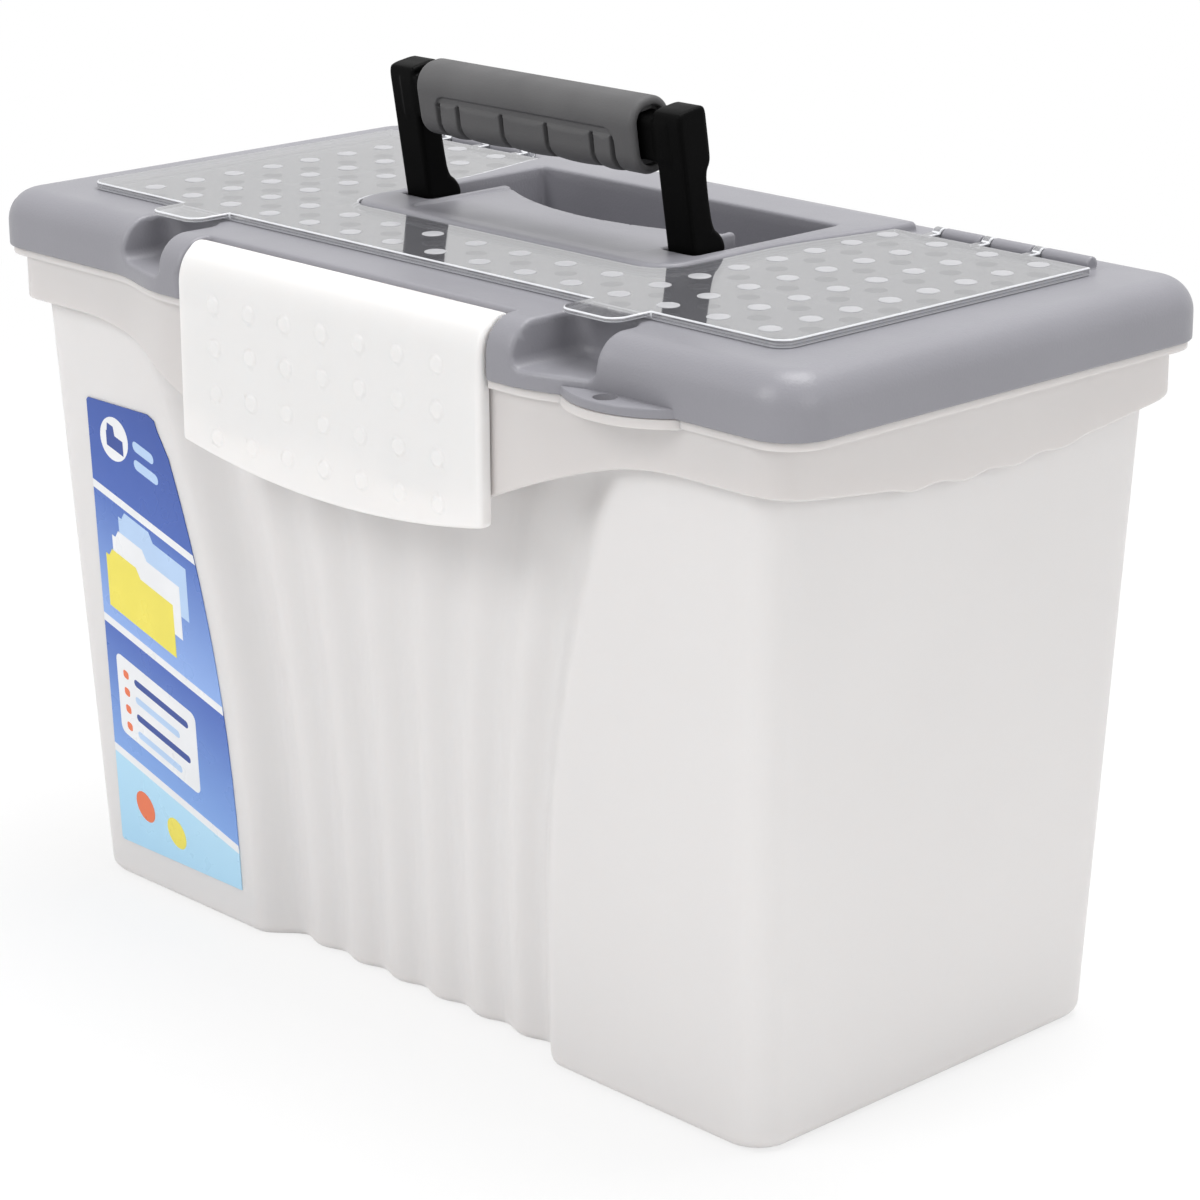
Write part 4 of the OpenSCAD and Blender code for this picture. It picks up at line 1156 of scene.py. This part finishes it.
LABEL_LEFT = -172.0
LABEL_OUT = 0.45
LABEL_GAP = 6.0
BAND_SLOPE = 0.3
PRINT_RISE = 0.03
FADE_SPAN = 230.0
BAND_RISES, BAND_W = (56, 112, 168), 3.4
FOLDER_W, FOLDER_H = 42, 22
SPOT, SPOT_R = 12, 5.9
LIST_ROWS, LIST_X, LIST_Z, LIST_PITCH, LIST_INDENT = 4, -162, 69, 7.4, 7
# height, and the colour of the print from there up to the next height
FADES = (
    (0, (0.36, 0.64, 0.86), (0.44, 0.70, 0.88)),
    (58, (0.20, 0.37, 0.76), (0.05, 0.12, 0.46)),
    (114, (0.26, 0.42, 0.80), (0.06, 0.14, 0.48)),
    (170, (0.05, 0.12, 0.45), (0.018, 0.06, 0.31)),
)


def label_right(z):
    """Right edge of the label at a height, which follows the recess."""
    return -recess_w(z) - LABEL_GAP


def on_label(x, z, out):
    """Point on the label's face, at a height above the wall."""
    return (x, -(TOP_HY - TAPER_Y * (1 - z / RIM_H)) - out, z)


def band_z(x, rise):
    """Height of the printed bands' slanting line at a place."""
    return rise - BAND_SLOPE * (x - LABEL_LEFT)


def band(rise, width):
    """Slanting band across the label, with its right end on the label's edge."""
    right = []
    for up in spread(rise, rise + width, 3):
        x = LABEL_LEFT + 60
        for _ in range(12):
            x = label_right(band_z(x, up))
        right.append((x, band_z(x, up)))
    return [(LABEL_LEFT, rise)] + right + [(LABEL_LEFT, rise + width)]


def slanted(x, z, flat):
    """An outline moved to (x, z) and slanted as the bands are."""
    return [(x + u, z + v - BAND_SLOPE * u) for u, v in flat]


def tile(x, z, w, h, r=2.0):
    """Rounded rectangle with its lower left corner at (x, z)."""
    flat = arc(w - r, h - r, r, 0, 5) + arc(r, h - r, r, 90, 5) + arc(r, r, r, 180, 5)
    flat += arc(w - r, r, r, 270, 5)
    return slanted(x, z, flat)


def folder(x, z, w=FOLDER_W, h=FOLDER_H):
    """Plain file folder with a tab."""
    flat = [
        (0, 0), (w, 0), (w, h), (w * 0.52, h), (w * 0.46, h + 3.5), (w * 0.1, h + 3.5),
        (w * 0.05, h), (0, h),
    ]
    return slanted(x, z, flat)


def disc(x, z, r):
    return [(x + r * math.cos(a), z + r * math.sin(a)) for a in spread(0, 2 * math.pi, 40)[:-1]]


def label_print(name, color, shapes):
    """Printed shapes on the label: each is (layer, outline) and becomes a thin closed slab."""
    points, faces = [], []
    for layer, outline in shapes:
        first, n = len(points), len(outline)
        for out in (LABEL_OUT - 0.05, LABEL_OUT + PRINT_RISE * layer):
            points += [on_label(x, z, out) for x, z in outline]
        faces.append(tuple(range(first + n - 1, first - 1, -1)))
        faces.append(tuple(range(first + n, first + 2 * n)))
        faces += ring_faces(first, 2, n)
    tint = (60, tuple(c * 0.96 for c in color), color)
    mat = plastic(name + "_ink", color, 0.3, (90, 0.26, 0.36), tint=tint)
    obj = piece(name, mesh_of(name, points, faces, 30), mat, "tub_body")


def label_paper():
    """Blue print that fades from band to band, deep at the top and pale at the foot."""
    mat = material("label_paper", (0.2, 0.37, 0.76), 0.3)
    tree = mat.node_tree
    along = add_node(tree, "VectorMath")
    along.operation = "DOT_PRODUCT"
    along.inputs[1].default_value = (BAND_SLOPE / (FADE_SPAN * MM), 0, 1 / (FADE_SPAN * MM))
    tree.links.new(add_node(tree, "TexCoord").outputs["Object"], along.inputs[0])
    shift = add_node(tree, "Math")
    shift.operation = "SUBTRACT"
    shift.inputs[1].default_value = BAND_SLOPE * LABEL_LEFT / FADE_SPAN
    tree.links.new(along.outputs["Value"], shift.inputs[0])
    ramp = add_node(tree, "ValToRGB", Fac=shift.outputs[0])
    stops = []
    for (at, low, high), after in zip(FADES, [f[0] for f in FADES[1:]] + [FADE_SPAN]):
        stops += [(at / FADE_SPAN, low), (after / FADE_SPAN - 0.001, high)]
    elements = ramp.color_ramp.elements
    elements[0].position, elements[0].color = stops[0][0], (*stops[0][1], 1)
    elements[1].position, elements[1].color = stops[-1][0], (*stops[-1][1], 1)
    for at, color in stops[1:-1]:
        elements.new(at).color = (*color, 1)
    tree.links.new(ramp.outputs["Color"], tree.nodes["Principled BSDF"].inputs["Base Color"])
    add_mottle(mat, "Roughness", 90, 0.26, 0.36)
    return mat


def dress_label():
    """Generic print: slanting bands, file folders, a ticked list and colour spots."""
    NODES["label"].data.materials.clear()
    NODES["label"].data.materials.append(label_paper())
    white = [(1, band(rise, BAND_W)) for rise in BAND_RISES]
    white += [(2, folder(-162, 128)), (1, disc(-155.5, 190.5, 9)), (1, tile(-166, 66, 50, 34, 3))]
    pale = [
        (1, folder(-157, 136.5)), (1, tile(-143.5, 181, 15, 4.2)),
        (1, tile(-143.5, 188.5, 13, 4.2)),
    ]
    yellow = [(3, folder(-167, 119.5)), (2, tile(-140, 25.5, SPOT, SPOT, SPOT_R))]
    deep = [(2, folder(-160.5, 187.5, 10.5, 6))]
    orange = [(2, tile(-160, 31.5, SPOT, SPOT, SPOT_R))]
    for i in range(LIST_ROWS):
        z = LIST_Z + LIST_PITCH * i
        line = tile(LIST_X + LIST_INDENT, z - BAND_SLOPE * 11, 28 + 6 * (i % 2), 3, 1.4)
        (deep if i % 2 else pale).append((2, line))
        orange.append((2, tile(LIST_X, z - BAND_SLOPE * 4, 3.4, 3.4, 1.2)))
    label_print("label_white", (0.82, 0.83, 0.85), white)
    label_print("label_pale", (0.46, 0.62, 0.86), pale)
    label_print("label_yellow", (0.84, 0.73, 0.09), yellow)
    label_print("label_deep", (0.02, 0.06, 0.3), deep)
    label_print("label_orange", (0.8, 0.17, 0.06), orange)


# ---- build ----

make_tub()
make_lid()
make_latch()
make_handle()
make_dots()
dress_label()
dress_tub()
make_rails()
cover_skin = rounded_copy("organizer_cover", CLEAR, 0.5)
# the cover's rounded edges take the pale material, a painted highlight
cover_skin.data.materials.append(RIM_HIGHLIGHT)
cover_skin.modifiers["round"].material = 1  # the rounded edges take the rim's material
rounded_copy("file_slide", SLIDE_MILK, 0.4)
for side in ("left", "right"):
    rounded_copy("slide_lock_" + side, LID, 0.3)
    for pin in ("latch_pin_", "cover_pin_", "handle_pin_", "lid_hinge_pin_"):
        rounded_copy(pin + side, STEEL, 0.2, limit=60)


# ---- camera, light and floor ----

CAMERA_AT = Vector((0.9645, -0.8979, 0.5618))
AZIMUTH = math.radians(46.53)
ELEVATION = math.radians(17.82)
ROLL = math.radians(-0.32)
FOCAL_PX = 3614.6
FRAME_PX = 1200
SENSOR = 36.0
WORLD_LIGHT = 0.6
FLOOR_HALF = 9.0
# the floor turns to plain white from the near to the far distance, in metres
FLOOR_NEAR, FLOOR_FAR, FLOOR_WHITE = 0.3, 1.3, 0.72


def add_camera():
    data = bpy.data.cameras.new("camera")
    data.sensor_width = SENSOR
    data.lens = SENSOR * FOCAL_PX / FRAME_PX
    data.clip_start, data.clip_end = 0.05, 50
    cam = placed("camera", data)
    back = Vector((
        math.sin(AZIMUTH) * math.cos(ELEVATION),
        -math.cos(AZIMUTH) * math.cos(ELEVATION),
        math.sin(ELEVATION),
    ))
    turn = (-back).to_track_quat("-Z", "Y").to_matrix() @ Matrix.Rotation(ROLL, 3, "Z")
    cam.matrix_world = Matrix.Translation(CAMERA_AT) @ turn.to_4x4()
    bpy.context.scene.camera = cam


def add_area(name, at, look, size, power):
    data = bpy.data.lights.new(name, "AREA")
    data.shape = "DISK"
    data.size = size
    data.energy = power
    lamp = placed(name, data)
    lamp.location = at
    lamp.rotation_mode = "QUATERNION"
    lamp.rotation_quaternion = (Vector(look) - Vector(at)).to_track_quat("-Z", "Y")


def seen_rays(tree):
    """1 for the rays that see, mirror or pass through to a surface, and 0 for the others."""
    path = add_node(tree, "LightPath")
    seen = path.outputs["Is Camera Ray"]
    for name in ("Is Glossy Ray", "Is Transmission Ray"):
        add = add_node(tree, "Math")
        add.operation = "ADD"
        add.use_clamp = True
        tree.links.new(seen, add.inputs[0])
        tree.links.new(path.outputs[name], add.inputs[1])
        seen = add.outputs[0]
    return seen


def seen_white(tree, surface, share):
    """Mixes white light into a surface for the rays that see it."""
    part = add_node(tree, "Math")
    part.operation = "MULTIPLY"
    tree.links.new(seen_rays(tree), part.inputs[0])
    tree.links.new(share, part.inputs[1])
    mix = add_node(tree, "MixShader", Fac=part.outputs[0])
    tree.links.new(surface, mix.inputs[1])
    tree.links.new(add_node(tree, "Emission", Strength=1.0).outputs[0], mix.inputs[2])
    return mix.outputs[0]


def add_floor():
    """Matt floor that turns to plain white away from the box."""
    half = FLOOR_HALF
    corners = [(-half, -half, 0), (half, -half, 0), (half, half, 0), (-half, half, 0)]
    mesh = bpy.data.meshes.new("floor")
    mesh.from_pydata(corners, [], [(0, 1, 2, 3)])
    floor = placed("floor", mesh)
    mat = material("floor", (0.88, 0.88, 0.88), 0.9)
    tree = mat.node_tree
    away = add_node(tree, "VectorMath", Vector=add_node(tree, "TexCoord").outputs["Object"])
    away.operation = "LENGTH"
    share = add_node(
        tree, "MapRange", Value=away.outputs["Value"], From_Min=FLOOR_NEAR, From_Max=FLOOR_FAR,
        To_Min=FLOOR_WHITE, To_Max=1.0,
    )
    plain = tree.nodes["Principled BSDF"].outputs[0]
    surface = seen_white(tree, plain, share.outputs["Result"])
    tree.links.new(surface, tree.nodes["Material Output"].inputs["Surface"])
    mesh.materials.append(mat)


def add_world():
    """White where it is seen or mirrored, and a softer light on what is lit by it."""
    world = bpy.data.worlds.new("studio")
    bpy.context.scene.world = world
    world.use_nodes = True
    tree = world.node_tree
    shader = tree.nodes["Background"]
    shader.inputs["Color"].default_value = (1, 1, 1, 1)
    level = add_node(tree, "MapRange", Value=seen_rays(tree), To_Min=WORLD_LIGHT, To_Max=1.0)
    tree.links.new(level.outputs["Result"], shader.inputs["Strength"])


add_camera()
add_world()
add_floor()
add_area("key", (-0.4, -1.9, 1.7), (0, 0, 0.15), 1.2, 19)
add_area("side", (2.2, -0.2, 1.1), (0, 0, 0.15), 1.0, 8)
add_area("top", (0.1, 0.5, 2.2), (0, 0, 0.2), 1.4, 32)

bpy.context.scene.view_settings.view_transform = "Standard"
